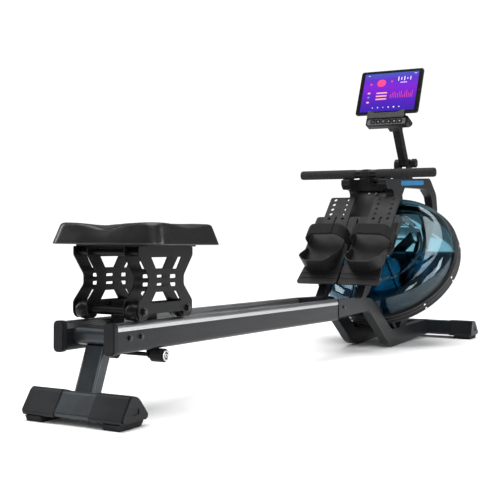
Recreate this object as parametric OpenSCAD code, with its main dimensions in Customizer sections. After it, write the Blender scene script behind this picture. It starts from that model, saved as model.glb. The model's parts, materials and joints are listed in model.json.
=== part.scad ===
// Water rowing machine: twin rails, rolling seat, tilted water tank, footrests and console.
// +Y runs forward from the seat to the tank, +X to the rower's right, +Z up.
// The origin is on the floor at the centre of the machine's length and width.

/* [Rails] */
// Length of each rail
rail_length = 1152; // [1100:4:1180]
// Height of the rail section
rail_height = 66; // [60:1:70]
// Width of the rail section
rail_width = 26; // [24:1:28]
// Distance between the two rail centres
rail_gauge = 140; // [138:1:144]
// Height of the rail centre above the floor at the rear end
rail_rear_z = 186; // [180:1:190]
// Slope of the rails, down towards the tank
rail_pitch = 1.0; // [0.6:0.1:1.2]

/* [Seat] */
// Rear end of the carriage plates, from the rails' rear end
carriage_rear = 76; // [60:4:200]
// Length of the carriage plates at their top and bottom
plate_length = 216; // [204:2:220]
// Height of the carriage plates' top edge above the rail centre
plate_top = 200; // [190:1:205]
// Width of the seat at its lower rim
seat_width = 308; // [290:2:316]
// Length of the seat at its lower rim
seat_length = 273; // [255:2:280]

/* [Tank] */
// Outer radius of the water tank's clamping ring
tank_radius = 270; // [266:1:274]
// Lean of the tank and the uprights from the vertical
lean = 40; // [39:0.5:41]
// Share of the tank's height that is filled with water
fill = 0.62; // [0.4:0.02:0.7]

/* [Handle] */
// Overall length of the handle
handle_length = 508; // [480:2:540]
// Diameter of the handle's grips
grip_d = 32; // [30:1:33]

/* [Console] */
// Width of the tablet
tablet_w = 245; // [220:5:260]
// Height of the tablet
tablet_h = 182; // [160:2:190]
// Number of keys on the console panel
key_count = 6; // [6:1:6]

/* [Hidden] */
$fn = 64;

// Positions are counted from the rails' rear end; this puts the machine's middle at the origin.
rail_rear_y = -1018.4;
SIDES = [-1, 1];
big = 3000;
// Gap that keeps a rolling surface just off its track
roll_gap = 0.35;
// Radial clearance of a shaft in its bore
run_fit = 0.05;

// The rails start a little way in from the rear datum
rail_from = 13;
rail_x = rail_gauge / 2;
rail_corner = 9;
track_t = 1.5;
rail_wall = 4;
track_edge = 16;
rail_top = rail_height / 2;
cross_tube_y = [36, 112];
cross_tube_corner = 15;
cross_tube_h = 40;
rail_inner = rail_x - rail_width / 2;

frame_w = 30;
frame_in = rail_x - frame_w / 2;
tube_t = 3;

foot_seam = 48;
foot_half = 139;
front_foot_seam = 172;
front_foot_half = 258;
foot_inset = 2;

// Carriage, counted along the rail from its rear end and up from the rail centre
plate_t = 3;
plate_x = [52, 91];
plate_mid = carriage_rear + plate_length / 2;
wheel_r = 22;
wheel_w = 30;
axle_z = rail_top + wheel_r + roll_gap;
axle_span = 176;
axle_r = 6;
waist_half = 71;
roller_r = 16;
roller_y = plate_mid + 6;
roller_in = 50;
roller_out = 86;
roller_z = -rail_top - roller_r - 1.5;
hanger_x = 47;

tank_y = 1776;
tank_z = 290;
shell_t = 3;
// The tank sits a little towards the rower in the leaning frame
tank_n = 8;
// Rear and front half: side radius, depth of the rim, of the dish and of the hub, rounding of the side
rear_half = [257, 96, 72, 88, 56];
front_half = [253, 56, 38, 50, 40];
hub_r = 34;
shell_r = tank_radius - 9;
dish_r = 140;
rim_r = 160;
ring_half = 20;
impeller_r = 140;
shaft_back = -36;
impeller_half = 27;
shaft_r = 10;
bearing_r = 19;
leg_front_n = 213;
leg_rear_n = 276;
plate_n = 226;
drum_n = 237;
drum_r = 42;
reel_r = 24;

foot_n = 312;
foot_t = 6;
foot_top = -43;
foot_low = -335;
strap_u = -146;
strap_w = 48;
foot_x = 84;

handle_y = 1568;
handle_z = 613;
roller_u = 140;
roller_n = 256;
roller_top_y = tank_y + roller_u * sin(lean) - roller_n * cos(lean);
roller_top_z = tank_z + roller_u * cos(lean) + roller_n * sin(lean);
guide_r = 15;
pulley_y = 1388;
pulley_z = 146;
pulley_r = 24;
pulley_groove = 20;

hinge_y = 1938;
hinge_z = 670;
console_y = 1784;
console_z = 811;
console_tilt = 22;
console_w = 165;
post_lean = 30;

function unit(v) = v / norm(v);

// Points of a closed outline with rounded corners: each corner is [x, y, radius].
function corner_points(a, p, b, steps = 6) =
    let (u = unit([a[0] - p[0], a[1] - p[1]]), w = unit([b[0] - p[0], b[1] - p[1]]),
         half = acos(u * w) / 2, reach = p[2] / tan(half),
         centre = [p[0], p[1]] + unit(u + w) * p[2] / sin(half),
         first = [p[0], p[1]] + u * reach - centre, last = [p[0], p[1]] + w * reach - centre,
         turn = atan2(first[0] * last[1] - first[1] * last[0], first * last))
    p[2] <= 0 ? [[p[0], p[1]]]
    : [for (i = [0:steps]) centre + [first[0] * cos(turn * i / steps) - first[1] * sin(turn * i / steps),
                                     first[0] * sin(turn * i / steps) + first[1] * cos(turn * i / steps)]];
function rounded(path, steps = 6) =
    [for (i = [0:len(path) - 1])
        each corner_points(path[(i + len(path) - 1) % len(path)], path[i], path[(i + 1) % len(path)],
            steps)];

module outline(path) { polygon(rounded(path)); }
module rounded_rect(w, h, r) {
    square([w - 2 * r, h], center = true);
    square([w, h - 2 * r], center = true);
    for (x = SIDES, y = SIDES) translate([x * (w / 2 - r), y * (h / 2 - r)]) circle(r);
}
// A section drawn in X and Z, run along Y
module along_y(from, to) { rotate([90, 0, 0]) translate([0, 0, -to]) linear_extrude(to - from) children(); }
// An outline drawn in Y and Z, run along X
module along_x(from, to) { rotate([90, 0, 90]) translate([0, 0,
    from]) linear_extrude(to - from) children(); }
module bar_x(from, to, r) { translate([from, 0, 0]) rotate([0, 90, 0]) cylinder(r = r, h = to - from); }

module placed(paint) { color(paint) translate([0, rail_rear_y, 0]) children(); }
module on_rails() { translate([0, 0, rail_rear_z]) rotate([-rail_pitch, 0, 0]) children(); }
// Frame of the leaning parts: X across, Y up the lean, Z square to it towards the rower
module leaning() { translate([0, tank_y, tank_z]) rotate([90 - lean, 0, 0]) children(); }

// ---- Rails and rear foot ----
module track_section() {
    intersection() {
        difference() {
            rounded_rect(rail_width, rail_height, rail_corner);
            rounded_rect(rail_width - 2 * track_t, rail_height - 2 * track_t, rail_corner - track_t);
        }
        translate([-rail_width, track_edge]) square([2 * rail_width, rail_height]);
    }
}
module rails() {
    placed("dimgray") on_rails() for (s = SIDES) translate([s * rail_x, 0, 0]) along_y(rail_from,
        rail_length)
        difference() {
            rounded_rect(rail_width, rail_height, rail_corner);
            track_section();
            rounded_rect(rail_width - 2 * rail_wall, rail_height - 2 * rail_wall, rail_corner - rail_wall);
        }
}
module running_tracks() {
    placed("silver") on_rails() for (s = SIDES) translate([s * rail_x, 0, 0])
        along_y(rail_from, rail_length) track_section();
}
module rail_cross_tube() {
    placed("darkslategray") on_rails() along_x(-rail_inner, rail_inner) difference() {
        translate([(cross_tube_y[0] + cross_tube_y[1]) / 2, 0])
            rounded_rect(cross_tube_y[1] - cross_tube_y[0], cross_tube_h,
                cross_tube_corner);
        translate([(cross_tube_y[0] + cross_tube_y[1]) / 2, 0])
            rounded_rect(cross_tube_y[1] - cross_tube_y[0] - 2 * tube_t, cross_tube_h - 2 * tube_t,
                cross_tube_corner - tube_t);
    }
}
function under_cross(y) = rail_rear_z - cross_tube_h / 2 / cos(rail_pitch) - y * tan(rail_pitch);
post_w = 55;
post_foot_z = 56;
post_foot_y = -8;
post_top_y = 38;
post_depth = 38;
post_slope = atan((post_top_y - post_foot_y) / (under_cross(post_top_y) - post_foot_z));
post_corner = 9;
// The leaning tube, cut level at its foot and along the cross tube at its top
module post_solid(wall) {
    intersection() {
        translate([0, post_foot_y + post_depth / 2, post_foot_z]) rotate([-post_slope, 0,
            0]) translate([0, 0, -post_w])
            linear_extrude(400) rounded_rect(post_w - 2 * wall,
                post_depth * cos(post_slope) - 2 * wall, post_corner - wall);
        along_x(-post_w, post_w) polygon([[-post_w, post_foot_z], [-post_w, under_cross(-post_w)],
            [2 * post_w, under_cross(2 * post_w)], [2 * post_w, post_foot_z]]);
    }
}
module rear_post() {
    placed("slategray") difference() {
        post_solid(0);
        post_solid(tube_t);
    }
}
rear_foot_path = [[-51, 14, 7], [-13, 74, 12], [18, 66, 26], [57, 15, 7]];
front_foot_path = [[1964, 12, 7], [1984, 70, 8], [2027, 67, 16], [2070, 13, 7]];
function shrunk(path, d) =
    let (cy = (path[0][0] + path[3][0]) / 2, cz = path[0][1] + 24)
    [for (p = path) [p[0] + d * sign(cy - p[0]), p[1] + d * sign(cz - p[1]), p[2]]];
module rear_foot_tube() {
    placed("slategray") difference() {
        along_x(-foot_seam, foot_seam) outline(shrunk(rear_foot_path, foot_inset));
        post_solid(0);
        along_x(-foot_seam - 1, foot_seam + 1) outline(shrunk(rear_foot_path, foot_inset + 9));
    }
}
module front_foot_tube() {
    placed("dimgray") difference() {
        along_x(-front_foot_seam, front_foot_seam) outline(shrunk(front_foot_path, foot_inset));
        along_x(-front_foot_seam - 1, front_foot_seam + 1) outline(shrunk(front_foot_path,
            foot_inset + tube_t));
    }
}
module foot_cap(path, from, to) {
    difference() {
        union() {
            along_x(from, to - 4) outline(path);
            along_x(to - 4, to) outline(shrunk(path, 2.5));
        }
        translate([0, (path[0][0] + path[3][0]) / 2, path[0][1] + 17]) translate([to - 2, -11, 0])
            cube([3, 22, 12]);
    }
}
module rail_cap() {
    along_y(-12, 0) rounded_rect(rail_width + 3, rail_height + 4, rail_corner + 1.5);
    along_y(-14.5, -12) rounded_rect(rail_width - 1, rail_height, rail_corner);
    along_y(0, 20) rounded_rect(rail_width - 2 * rail_wall, rail_height - 2 * rail_wall,
        rail_corner - rail_wall);
}
module end_caps() {
    placed("black") for (s = [0, 1]) mirror([s, 0, 0]) {
        foot_cap(rear_foot_path, foot_seam, foot_half);
        foot_cap(front_foot_path, front_foot_seam, front_foot_half);
        on_rails() translate([rail_x, rail_from, 0]) rail_cap();
    }
}
module foot_pads() {
    placed("black") for (s = [0, 1]) mirror([s, 0, 0]) {
        along_x(84, 128) polygon([[-38, 0], [36, 0], [46, 14], [-44, 14]]);
        along_x(190, 250) polygon([[1976, 0], [2052, 0], [2058, 12], [1972, 12]]);
    }
}
module frame_bolts() {
    placed("silver") {
        on_rails() for (s = [0, 1], y = [58, 100]) mirror([s, 0,
            0]) translate([rail_x + rail_width / 2, y, 0]) {
            bar_x(0, 1.2, 7.5);
            bar_x(1.2, 5, 5);
        }
        for (s = [0, 1]) mirror([s, 0, 0]) translate([rail_x + frame_w / 2, 1190, 172]) bar_x(0, 3.5, 5);
        leaning() for (x = SIDES) translate([x * 14, 100, leg_rear_n]) cylinder(r = 4, h = 2.5);
    }
}

// ---- Front frame ----
base_path = [[1140, 198.4, 0], [1413, 189, 110], [1604, 62, 60], [1978, 70, 0], [1966, 14, 0],
    [1590, 2, 110], [1395, 146, 60], [1140, 141.4, 0]];
module base_solid(from, to) { along_x(from, to) outline(base_path); }
module base_room() { for (s = [0, 1]) mirror([s, 0, 0]) base_solid(frame_in - 1, frame_in + frame_w + 1); }
module rail_end_cut() { on_rails() translate([-big / 2, -big / 2, -200]) cube([big,
    big / 2 + rail_length, 400]); }
module base_frames() {
    placed("dimgray") difference() {
        for (s = [0, 1]) mirror([s, 0, 0]) base_solid(frame_in, frame_in + frame_w);
        rail_end_cut();
        along_x(-front_foot_seam, front_foot_seam) outline(shrunk(front_foot_path, foot_inset));
    }
}
// The arch goes up the lean in front of the rower, over the top and down behind the tank.
function lean_y(u, n) = tank_y + u * sin(lean) - n * cos(lean);
function lean_z(u, n) = tank_z + u * cos(lean) + n * sin(lean);
back_front_n = -65;
back_rear_n = -115;
leg_waist_n = leg_front_n + 26;
arch_outer = [[lean_y(-400, leg_rear_n), lean_z(-400, leg_rear_n), 0],
    [lean_y(119, leg_rear_n), lean_z(119, leg_rear_n), 20], [1556, 558, 14],
    [1540, 576, 10], [1543, 593, 4], [1994, 613, 46], [2068, 552, 40],
    [lean_y(345, back_rear_n), lean_z(345, back_rear_n), 40],
    [lean_y(-215, back_rear_n), lean_z(-215, back_rear_n), 0],
    [lean_y(-258, back_front_n), lean_z(-258, back_front_n), 0],
    [lean_y(322, back_front_n), lean_z(322, back_front_n), 40], [2008, 542, 16], [1960, 570, 24],
    [1726, 569, 10], [lean_y(-310, leg_waist_n), lean_z(-310, leg_waist_n), 0]];
module arches() {
    placed("dimgray") difference() {
        for (s = [0, 1]) mirror([s, 0, 0]) along_x(frame_in, frame_in + frame_w) outline(arch_outer);
        base_room();
    }
}
module pulley_bracket() {
    placed("gray") {
        // Box tube across the frames, near the rails' ends
        translate([0, 1180, 166]) difference() {
            cube([2 * frame_in, 40, 34], center = true);
            cube([2 * frame_in + 2, 40 - 2 * tube_t, 34 - 2 * tube_t], center = true);
        }
        // Crossbar with the lower pulley's two ears
        translate([0, 1346, 168]) cube([2 * frame_in, 26, 26], center = true);
        for (x = [-19, 16]) translate([x, 0, 0]) along_x(0, 3) difference() {
            polygon([[1350, 176], [1392, 172], [1406, 146], [1388, 126], [1350, 160]]);
            translate([pulley_y, pulley_z]) circle(5);
        }
    }
}

// ---- Seat carriage ----
module plate_openings() {
    for (m = [[1, plate_top - 24, plate_top - 51], [1, 97.5, 73.5]])
        polygon([[-(m[1] > 120 ? 61 : 42), m[1]], [(m[1] > 120 ? 61 : 42), m[1]],
            [(m[1] > 120 ? 42 : 61), m[2]], [-(m[1] > 120 ? 42 : 61), m[2]]]);
    for (z = [132, 113]) translate([0, z]) rounded_rect(78, 8.5, 3);
}
module plate_shape() {
    translate([plate_mid, 0]) difference() {
        union() {
            outline([[-plate_length / 2, plate_top, 4], [-plate_length / 2, plate_top - 20, 12],
                [-waist_half, 134, 14], [-waist_half, 112, 14], [-plate_length / 2, 74, 16],
                [-plate_length / 2, axle_z - 6, 6], [plate_length / 2, axle_z - 6, 6],
                [plate_length / 2, 74, 16], [waist_half, 112, 14], [waist_half, 134, 14],
                [plate_length / 2, plate_top - 20, 12], [plate_length / 2, plate_top, 4]]);
            for (s = SIDES) translate([s * axle_span / 2, axle_z]) circle(20);
        }
        plate_openings();
        for (s = SIDES) translate([s * axle_span / 2, axle_z]) circle(axle_r);
    }
}
module plate_pair(x) { on_rails() for (s = [0, 1]) mirror([s, 0, 0]) along_x(x - plate_t / 2,
    x + plate_t / 2) plate_shape(); }
module outer_plates() { placed("black") plate_pair(plate_x[1]); }
module inner_plates() { placed("black") plate_pair(plate_x[0]); }
module wheel_axles() {
    placed("silver") on_rails() for (s = SIDES) translate([0, plate_mid + s * axle_span / 2, axle_z]) {
        bar_x(-plate_x[1] - plate_t / 2 - 1, plate_x[1] + plate_t / 2 + 1, axle_r);
        for (m = [0, 1]) mirror([m, 0, 0]) translate([plate_x[1] + plate_t / 2 + 1, 0, 0]) {
            bar_x(0, 1.2, 9);
            bar_x(1.2, 6, 6.5);
        }
    }
}
spacer_r = 7;
sleeve_r = 10;
// Height of the rods under the seat
rod_z = plate_top - 14;
module spacer_tubes() {
    inner = plate_x[0] - plate_t / 2;
    placed("black") on_rails() for (s = SIDES) translate([0, plate_mid, 0]) {
        // Rods right under the seat: between the two sides, and within each pair of plates
        translate([0, s * axle_span / 2, rod_z]) {
            bar_x(-inner, inner, spacer_r);
            for (m = [0, 1]) mirror([m, 0, 0]) bar_x(plate_x[0] + plate_t / 2,
                plate_x[1] - plate_t / 2, spacer_r);
        }
        // Sleeve round each axle
        translate([0, s * axle_span / 2, axle_z]) difference() {
            bar_x(-inner, inner, sleeve_r);
            bar_x(-inner - 1, inner + 1, axle_r + run_fit);
        }
    }
}
module seat_slab(w, l, r, h) { linear_extrude(h) rounded_rect(w, l, r); }
seat_mid = plate_mid + 11;
seat_h = 50;
module seat_pan() {
    placed("black") on_rails() translate([0, seat_mid, plate_top]) seat_slab(200, 218, 14, 4);
}
module seat_pad() {
    placed("black") on_rails() translate([0, seat_mid, plate_top + 4]) hull() {
        seat_slab(seat_width, seat_length, 32, 6);
        seat_slab(seat_width - 26, seat_length - 24, 32, seat_h);
    }
}
module roller_hangers() {
    placed("black") on_rails() for (s = [0, 1]) mirror([s, 0, 0]) {
        along_x(hanger_x - 1.5, hanger_x + 1.5) difference() {
            outline([[roller_y - 34, 70, 6], [roller_y + 20, 70, 6], [roller_y + 16, roller_z - 2, 14],
                [roller_y - 16, roller_z - 14, 14], [roller_y - 22, 0, 20]]);
            translate([roller_y, roller_z]) circle(5 + run_fit);
        }
        along_x(hanger_x + 1.5, plate_x[0] - plate_t / 2) translate([roller_y - 8, 60]) circle(6);
    }
}
module lower_rollers() {
    placed("gray") on_rails() translate([0, roller_y, roller_z]) {
        bar_x(-roller_out - 3, roller_out + 3, 5);
        for (s = [0, 1]) mirror([s, 0, 0]) {
            bar_x(roller_in, roller_out, roller_r - 2);
            bar_x(roller_in + 2, roller_out - 2, roller_r);
        }
    }
}
module wheel_profile() {
    intersection() {
        translate([-26, 0]) circle(wheel_r + 26);
        translate([axle_r + run_fit, -wheel_w / 2]) square([wheel_r, wheel_w]);
    }
}
module wheel_pair(s) {
    on_rails() for (x = SIDES) translate([x * rail_x, plate_mid + s * axle_span / 2, axle_z])
        rotate([0, 90, 0]) rotate_extrude() wheel_profile();
}
module rear_wheels() { placed("black") wheel_pair(-1); }
module front_wheels() { placed("black") wheel_pair(1); }

// ---- Water tank ----
module in_tank() { leaning() translate([0, 0, tank_n]) children(); }
gasket_t = 1.2;
flange_t = 5;
// Skin of one half of the tank, in radius and depth: outside, flange, then back along the inside
module half_shell_profile(h, bore) {
    lip = gasket_t / 2;
    t = shell_t;
    polygon(rounded([[bore, h[3], 0], [hub_r, h[3], 4], [hub_r + 10, h[2], 8], [dish_r, h[2], 14],
        [rim_r, h[1], 22],
        [h[0], h[1], h[4]], [h[0], lip + flange_t, 0], [shell_r, lip + flange_t, 0], [shell_r, lip, 0],
        [h[0] - t, lip, 0], [h[0] - t, h[1] - t, h[4] - t], [rim_r + 2, h[1] - t, 19], [dish_r + 2,
            h[2] - t, 17],
        [hub_r + 10 - t, h[2] - t, 8], [hub_r - t, h[3] - t, 2], [bore, h[3] - t, 0]], 10));
}
module tank_rear_shell() {
    placed("lightblue") in_tank() rotate_extrude($fn = 96) half_shell_profile(rear_half, 24.5);
}
module tank_front_shell() {
    placed("lightblue") in_tank() mirror([0, 0,
        1]) rotate_extrude($fn = 96) half_shell_profile(front_half, 0);
}
// The ring's two lips hold the shells' flanges together
lip_gap = 0.4;
flange_top = gasket_t / 2 + flange_t;
module tank_ring() {
    rear_lip = rear_half[0] + lip_gap;
    front_lip = front_half[0] + lip_gap;
    placed("black") in_tank() rotate_extrude($fn = 96) polygon([[shell_r, -flange_top],
        [front_lip, -flange_top], [front_lip, -ring_half], [tank_radius, -ring_half],
        [tank_radius, ring_half], [rear_lip, ring_half], [rear_lip, flange_top], [shell_r, flange_top]]);
}
module tank_gasket() {
    placed("black") in_tank() translate([0, 0, -gasket_t / 2]) rotate_extrude($fn = 96)
        translate([shell_r - 6, 0]) square([6, gasket_t]);
}
module ring_screws() {
    placed("silver") in_tank() for (i = [0:11], n = SIDES)
        rotate([0, 0, 15 + 30 * i]) translate([tank_radius, 0, n * 10])
            rotate([0, 90, 0]) cylinder(r = 4, h = 3);
}
bracket_u = 252;
module tank_brackets() {
    placed("black") difference() {
        leaning() for (x = SIDES, u = [-bracket_u - 12, bracket_u - 4])
            translate([x * rail_x - 12, u, back_front_n]) cube([24, 16, tank_n - ring_half - back_front_n]);
        base_room();
    }
}
water_level = tank_z + (2 * fill - 1) * (tank_radius - 30) * cos(lean);
// The water's outline stays clear of the shells and leaves the turning impeller's room
module tank_water() {
    low = impeller_half + 6;
    rear = rear_half[1] - shell_t - 1;
    front = shell_t + 1 - front_half[1];
    placed("steelblue") intersection() {
        in_tank() rotate_extrude($fn = 96) polygon(rounded([[impeller_r + 6, front_half[2] * -1 + 5, 4],
            [impeller_r + 6, low, 0], [hub_r + 14, low, 0], [hub_r + 14, rear_half[2] - 5, 4],
            [dish_r, rear_half[2] - 5, 14], [rim_r + 4, rear, 18], [252, rear, 52], [252, 3, 0], [248,
                -1, 0],
            [248, front, 36], [rim_r + 6, front, 12]]));
        translate([-big / 2, 0, 0]) cube([big, big, water_level]);
    }
}
module impeller() {
    placed("black") in_tank() difference() {
        union() {
            translate([0, 0, -impeller_half - 3]) cylinder(r = 26, h = 2 * impeller_half + 6);
            for (i = [0:5]) rotate([0, 0, 60 * i]) translate([20, -2, -impeller_half])
                cube([impeller_r - 20, 4, 2 * impeller_half]);
        }
        translate([0, 0, -impeller_half - 4]) cylinder(r = shaft_r, h = 2 * impeller_half + 8);
    }
}
module impeller_shaft() {
    placed("silver") leaning() translate([0, 0, shaft_back]) cylinder(r = shaft_r,
        h = drum_n + 30 - shaft_back);
}
module bearing_at(n, h) {
    translate([0, 0, n]) difference() {
        cylinder(r = bearing_r, h = h);
        translate([0, 0, -1]) cylinder(r = shaft_r + run_fit, h = h + 2);
    }
}
rear_hub_n = tank_n + rear_half[3];
front_hub_n = tank_n - front_half[3];
module shaft_bearings() {
    placed("silver") leaning() {
        bearing_at(shaft_back + 1, 9);
        bearing_at(rear_hub_n + 9, 9);
        bearing_at(plate_n, 8);
    }
}
module bearing_mounts() {
    placed("dimgray") leaning() {
        // Cup inside the front shell
        translate([0, 0, front_hub_n + shell_t]) difference() {
            cylinder(r = bearing_r + 5, h = shaft_back + 10 - front_hub_n - shell_t);
            translate([0, 0, shaft_back + 1 - front_hub_n - shell_t]) cylinder(r = bearing_r, h = 10);
            translate([0, 0, 2]) cylinder(r = shaft_r + 1, h = 10);
        }
        // Housing on the rear shell's hub, with the shaft seal's seat
        difference() {
            union() {
                translate([0, 0, rear_hub_n - 16]) cylinder(r = 24, h = 34);
                translate([0, 0, rear_hub_n]) cylinder(r = 33, h = 5);
            }
            translate([0, 0, rear_hub_n - 20]) cylinder(r = shaft_r + 1, h = 60);
            translate([0, 0, rear_hub_n + 9]) cylinder(r = bearing_r, h = 10);
        }
        // Plate between the two legs
        translate([0, 0, plate_n]) difference() {
            translate([-frame_in, -62, 0]) cube([2 * frame_in, 124, 8]);
            translate([0, 0, -1]) cylinder(r = bearing_r, h = 10);
        }
    }
}

// ---- Drive ----
module strap_drum() {
    placed("gray") leaning() translate([0, 0, drum_n]) rotate_extrude() difference() {
        union() {
            square([drum_r + 6, 2]);
            square([drum_r - 3, 20]);
            translate([0, 18]) square([drum_r + 6, 2]);
            square([reel_r - 5, 29]);
            translate([0, 27]) square([reel_r + 2, 2]);
        }
        square([shaft_r + run_fit, 40]);
    }
}
// The strap leaves the drum, turns a quarter and runs over the guide roller to the handle.
strap_half = 7.5;
strap_t = 1.6;
wind_r = drum_r - 3 + strap_t / 2 + 0.2;
wind_from = wind_r * [sin(acos(wind_r / roller_u)), wind_r / roller_u];
strap_route = [for (i = [0:9]) let (k = i / 10, n0 = drum_n + 10)
    [wind_from[0] * (1 - k), wind_from[1] + (roller_u - wind_from[1]) * k,
     n0 + (roller_n - guide_r - 1.2 - n0) * k * k, 90 * (1 - k)]];
function strap_ring(p) =
    [for (c = [[-1, -1], [1, -1], [1, 1], [-1, 1]])
        let (a = c[0] * strap_half, b = -c[1] * strap_t / 2, x = a * cos(p[3]) - b * sin(p[3]),
             n = a * sin(p[3]) + b * cos(p[3]))
        [p[0] + x, lean_y(p[1], p[2] + n), lean_z(p[1], p[2] + n)]];
function arc_ring(y, z, dir) =
    [for (c = [[-1, -1], [1, -1], [1, 1], [-1, 1]])
        [c[0] * strap_half, y + c[1] * strap_t / 2 * cos(dir), z + c[1] * strap_t / 2 * sin(dir)]];
strap_wrap = [for (a = [-lean:20:60])
    arc_ring(roller_top_y + (guide_r + 1.2) * cos(a), roller_top_z + (guide_r + 1.2) * sin(a), a)];
strap_end = arc_ring(handle_y + 16.2, handle_z - 4, 60);
strap_rings = concat([for (p = strap_route) strap_ring(p)], strap_wrap, [strap_end]);
module swept(rings) {
    m = len(rings[0]);
    last = len(rings) - 1;
    polyhedron(points = [for (r = rings) each r], faces = concat(
        [[for (j = [0:m - 1]) j]],
        [for (i = [0:last - 1], j = [0:m - 1])
            each [[i * m + j, (i + 1) * m + j, (i + 1) * m + (j + 1) % m],
                  [i * m + j, (i + 1) * m + (j + 1) % m, i * m + (j + 1) % m]]],
        [[for (j = [m - 1:-1:0]) last * m + j]]));
}
module drive_strap() { placed("black") swept(strap_rings); }
// The return cord runs from its reel, under the lower pulley and back between the rails.
cord_r = 3.4;
cord_sides = 8;
reel_cord_x = reel_r - 5 + cord_r + 0.2;
cord_points = concat(
    [[reel_cord_x, lean_y(0, drum_n + 23.5), lean_z(0, drum_n + 23.5)],
     [reel_cord_x, lean_y(-50, drum_n + 23.5), lean_z(-50, drum_n + 23.5)],
     [12, lean_y(-180, drum_n - 2), lean_z(-180, drum_n - 2)]],
    [for (a = [-20:-23:-89]) [0, pulley_y + (pulley_groove + 4.4) * cos(a),
        pulley_z + (pulley_groove + 4.4) * sin(a)]],
    [[0, pulley_y - 60, pulley_z - 24], [0, 900, 136], [0, 500, 147], [0, cross_tube_y[1] + 2, 158]]);
function cord_ring(i) =
    let (p = cord_points[i], a = cord_points[max(i - 1, 0)], b = cord_points[min(i + 1,
        len(cord_points) - 1)],
         t = unit(b - a), side = unit(cross(t, [1, 0, 0])), across = cross(side, t))
    [for (k = [0:cord_sides - 1]) p + cord_r * (cos(360 * k / cord_sides) * side + sin(360 * k / cord_sides) * across)];
module return_bungee() {
    placed("black") swept([for (i = [0:len(cord_points) - 1]) cord_ring(i)]);
}
module guide_roller() {
    placed("gray") translate([0, roller_top_y, roller_top_z]) rotate([0, 90,
        0]) rotate_extrude() difference() {
        union() {
            translate([0, -20]) square([guide_r, 40]);
            for (y = [-20, 17]) translate([0, y]) square([guide_r + 4, 3]);
        }
        translate([-1, -21]) square([5 + run_fit + 1, 42]);
    }
}
module bungee_pulley() {
    placed("gray") translate([0, pulley_y, pulley_z]) rotate([0, 90, 0]) rotate_extrude() difference() {
        translate([0, -8]) square([pulley_r, 16]);
        translate([-1, -9]) square([5 + run_fit + 1, 18]);
        polygon([[pulley_groove - 1, -2], [pulley_groove - 1, 2], [pulley_r + 1, 6], [pulley_r + 1, -6]]);
    }
}
module pulley_axles() {
    placed("silver") {
        translate([0, roller_top_y, roller_top_z]) bar_x(-frame_in, frame_in, 5);
        translate([0, pulley_y, pulley_z]) bar_x(-23, 23, 5);
    }
}

// ---- Footrests ----
peg_u = foot_top - 40;
plate_path = [[4, foot_low, 8], [151, foot_low, 8], [134, -214, 12], [162, -192, 10], [161, foot_top, 10],
    [4, foot_top, 6]];
module foot_plates() {
    placed("black") leaning() for (s = [0, 1]) mirror([s, 0, 0]) {
        translate([0, 0, foot_n]) difference() {
            linear_extrude(foot_t) outline(plate_path);
            for (u = [-295, -315]) translate([10, u, foot_t - 1.5]) cube([128, 2.5, 2]);
        }
        // Peg that locks the heel slide
        translate([foot_x, peg_u, foot_n + foot_t]) cylinder(r = 3.4, h = 8);
    }
}
slide_n = foot_n + foot_t + 0.4;
slide_t = 3.5;
slide_top = 44;
slide_half = 48;
cup_low = -283;
cup_high = -196;
cup_half = 64;
cup_wall = 3.5;
cup_h = 52;
cup_slope = 32;
hole_pitch = 22;
peg_slot = 74;
module cup_outline(d) {
    outline([[-cup_half + d, cup_high, 0], [-cup_half + d, cup_low + d, 42 - d],
        [cup_half - d, cup_low + d, 42 - d], [cup_half - d, cup_high, 0]]);
}
module heel_slide(s) {
    leaning() mirror([s < 0 ? 1 : 0, 0, 0]) translate([foot_x, 0, slide_n]) {
        linear_extrude(slide_t) difference() {
            outline([[-cup_half, cup_low, 42], [cup_half, cup_low, 42], [cup_half - 2, -150, 30],
                [slide_half, -90, 30], [slide_half - 2, slide_top, 8], [2 - slide_half, slide_top, 8],
                [-slide_half, -90, 30], [2 - cup_half, -150, 30]]);
            for (i = [0:4], x = [-26, 26]) translate([x, slide_top - 11 - i * hole_pitch]) circle(6);
            translate([0, peg_u]) rounded_rect(7.4, peg_slot, 3.6);
        }
        translate([0, 0, slide_t]) difference() {
            linear_extrude(cup_h) difference() {
                cup_outline(0);
                cup_outline(cup_wall);
                translate([-cup_half + cup_wall, cup_high - 20]) square([2 * (cup_half - cup_wall), 30]);
            }
            translate([-big / 2, cup_low + 22, cup_h]) rotate([-cup_slope, 0, 0]) cube([big, 300, 300]);
        }
    }
}
module left_heel_slide() { placed("black") heel_slide(-1); }
module right_heel_slide() { placed("black") heel_slide(1); }
strap_rise = 62;
strap_x = [7, 158];
module strap_band_2d(t) {
    outline([[strap_x[0] + t, -1, 0], [strap_x[0] + t, strap_rise - t, 42 - t],
        [strap_x[1] - t, strap_rise - t, 42 - t], [strap_x[1] - t, -1, 0]]);
}
module foot_straps() {
    placed("black") leaning() for (s = [0, 1]) mirror([s, 0, 0])
        translate([0, strap_u + strap_w / 2, foot_n + foot_t]) rotate([90, 0, 0]) linear_extrude(strap_w)
            intersection() {
                difference() {
                    strap_band_2d(0);
                    strap_band_2d(3);
                }
                square([200, 100]);
            }
}
module footrest_bars() {
    placed("dimgray") leaning() for (u = [-50, -270]) translate([0, u, (leg_rear_n + foot_n) / 2])
        rotate([0, 90, 0]) translate([0, 0, -118]) linear_extrude(236) difference() {
            rounded_rect(foot_n - leg_rear_n, 30, 5);
            rounded_rect(foot_n - leg_rear_n - 2 * tube_t, 30 - 2 * tube_t, 5 - tube_t);
        }
}

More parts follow.
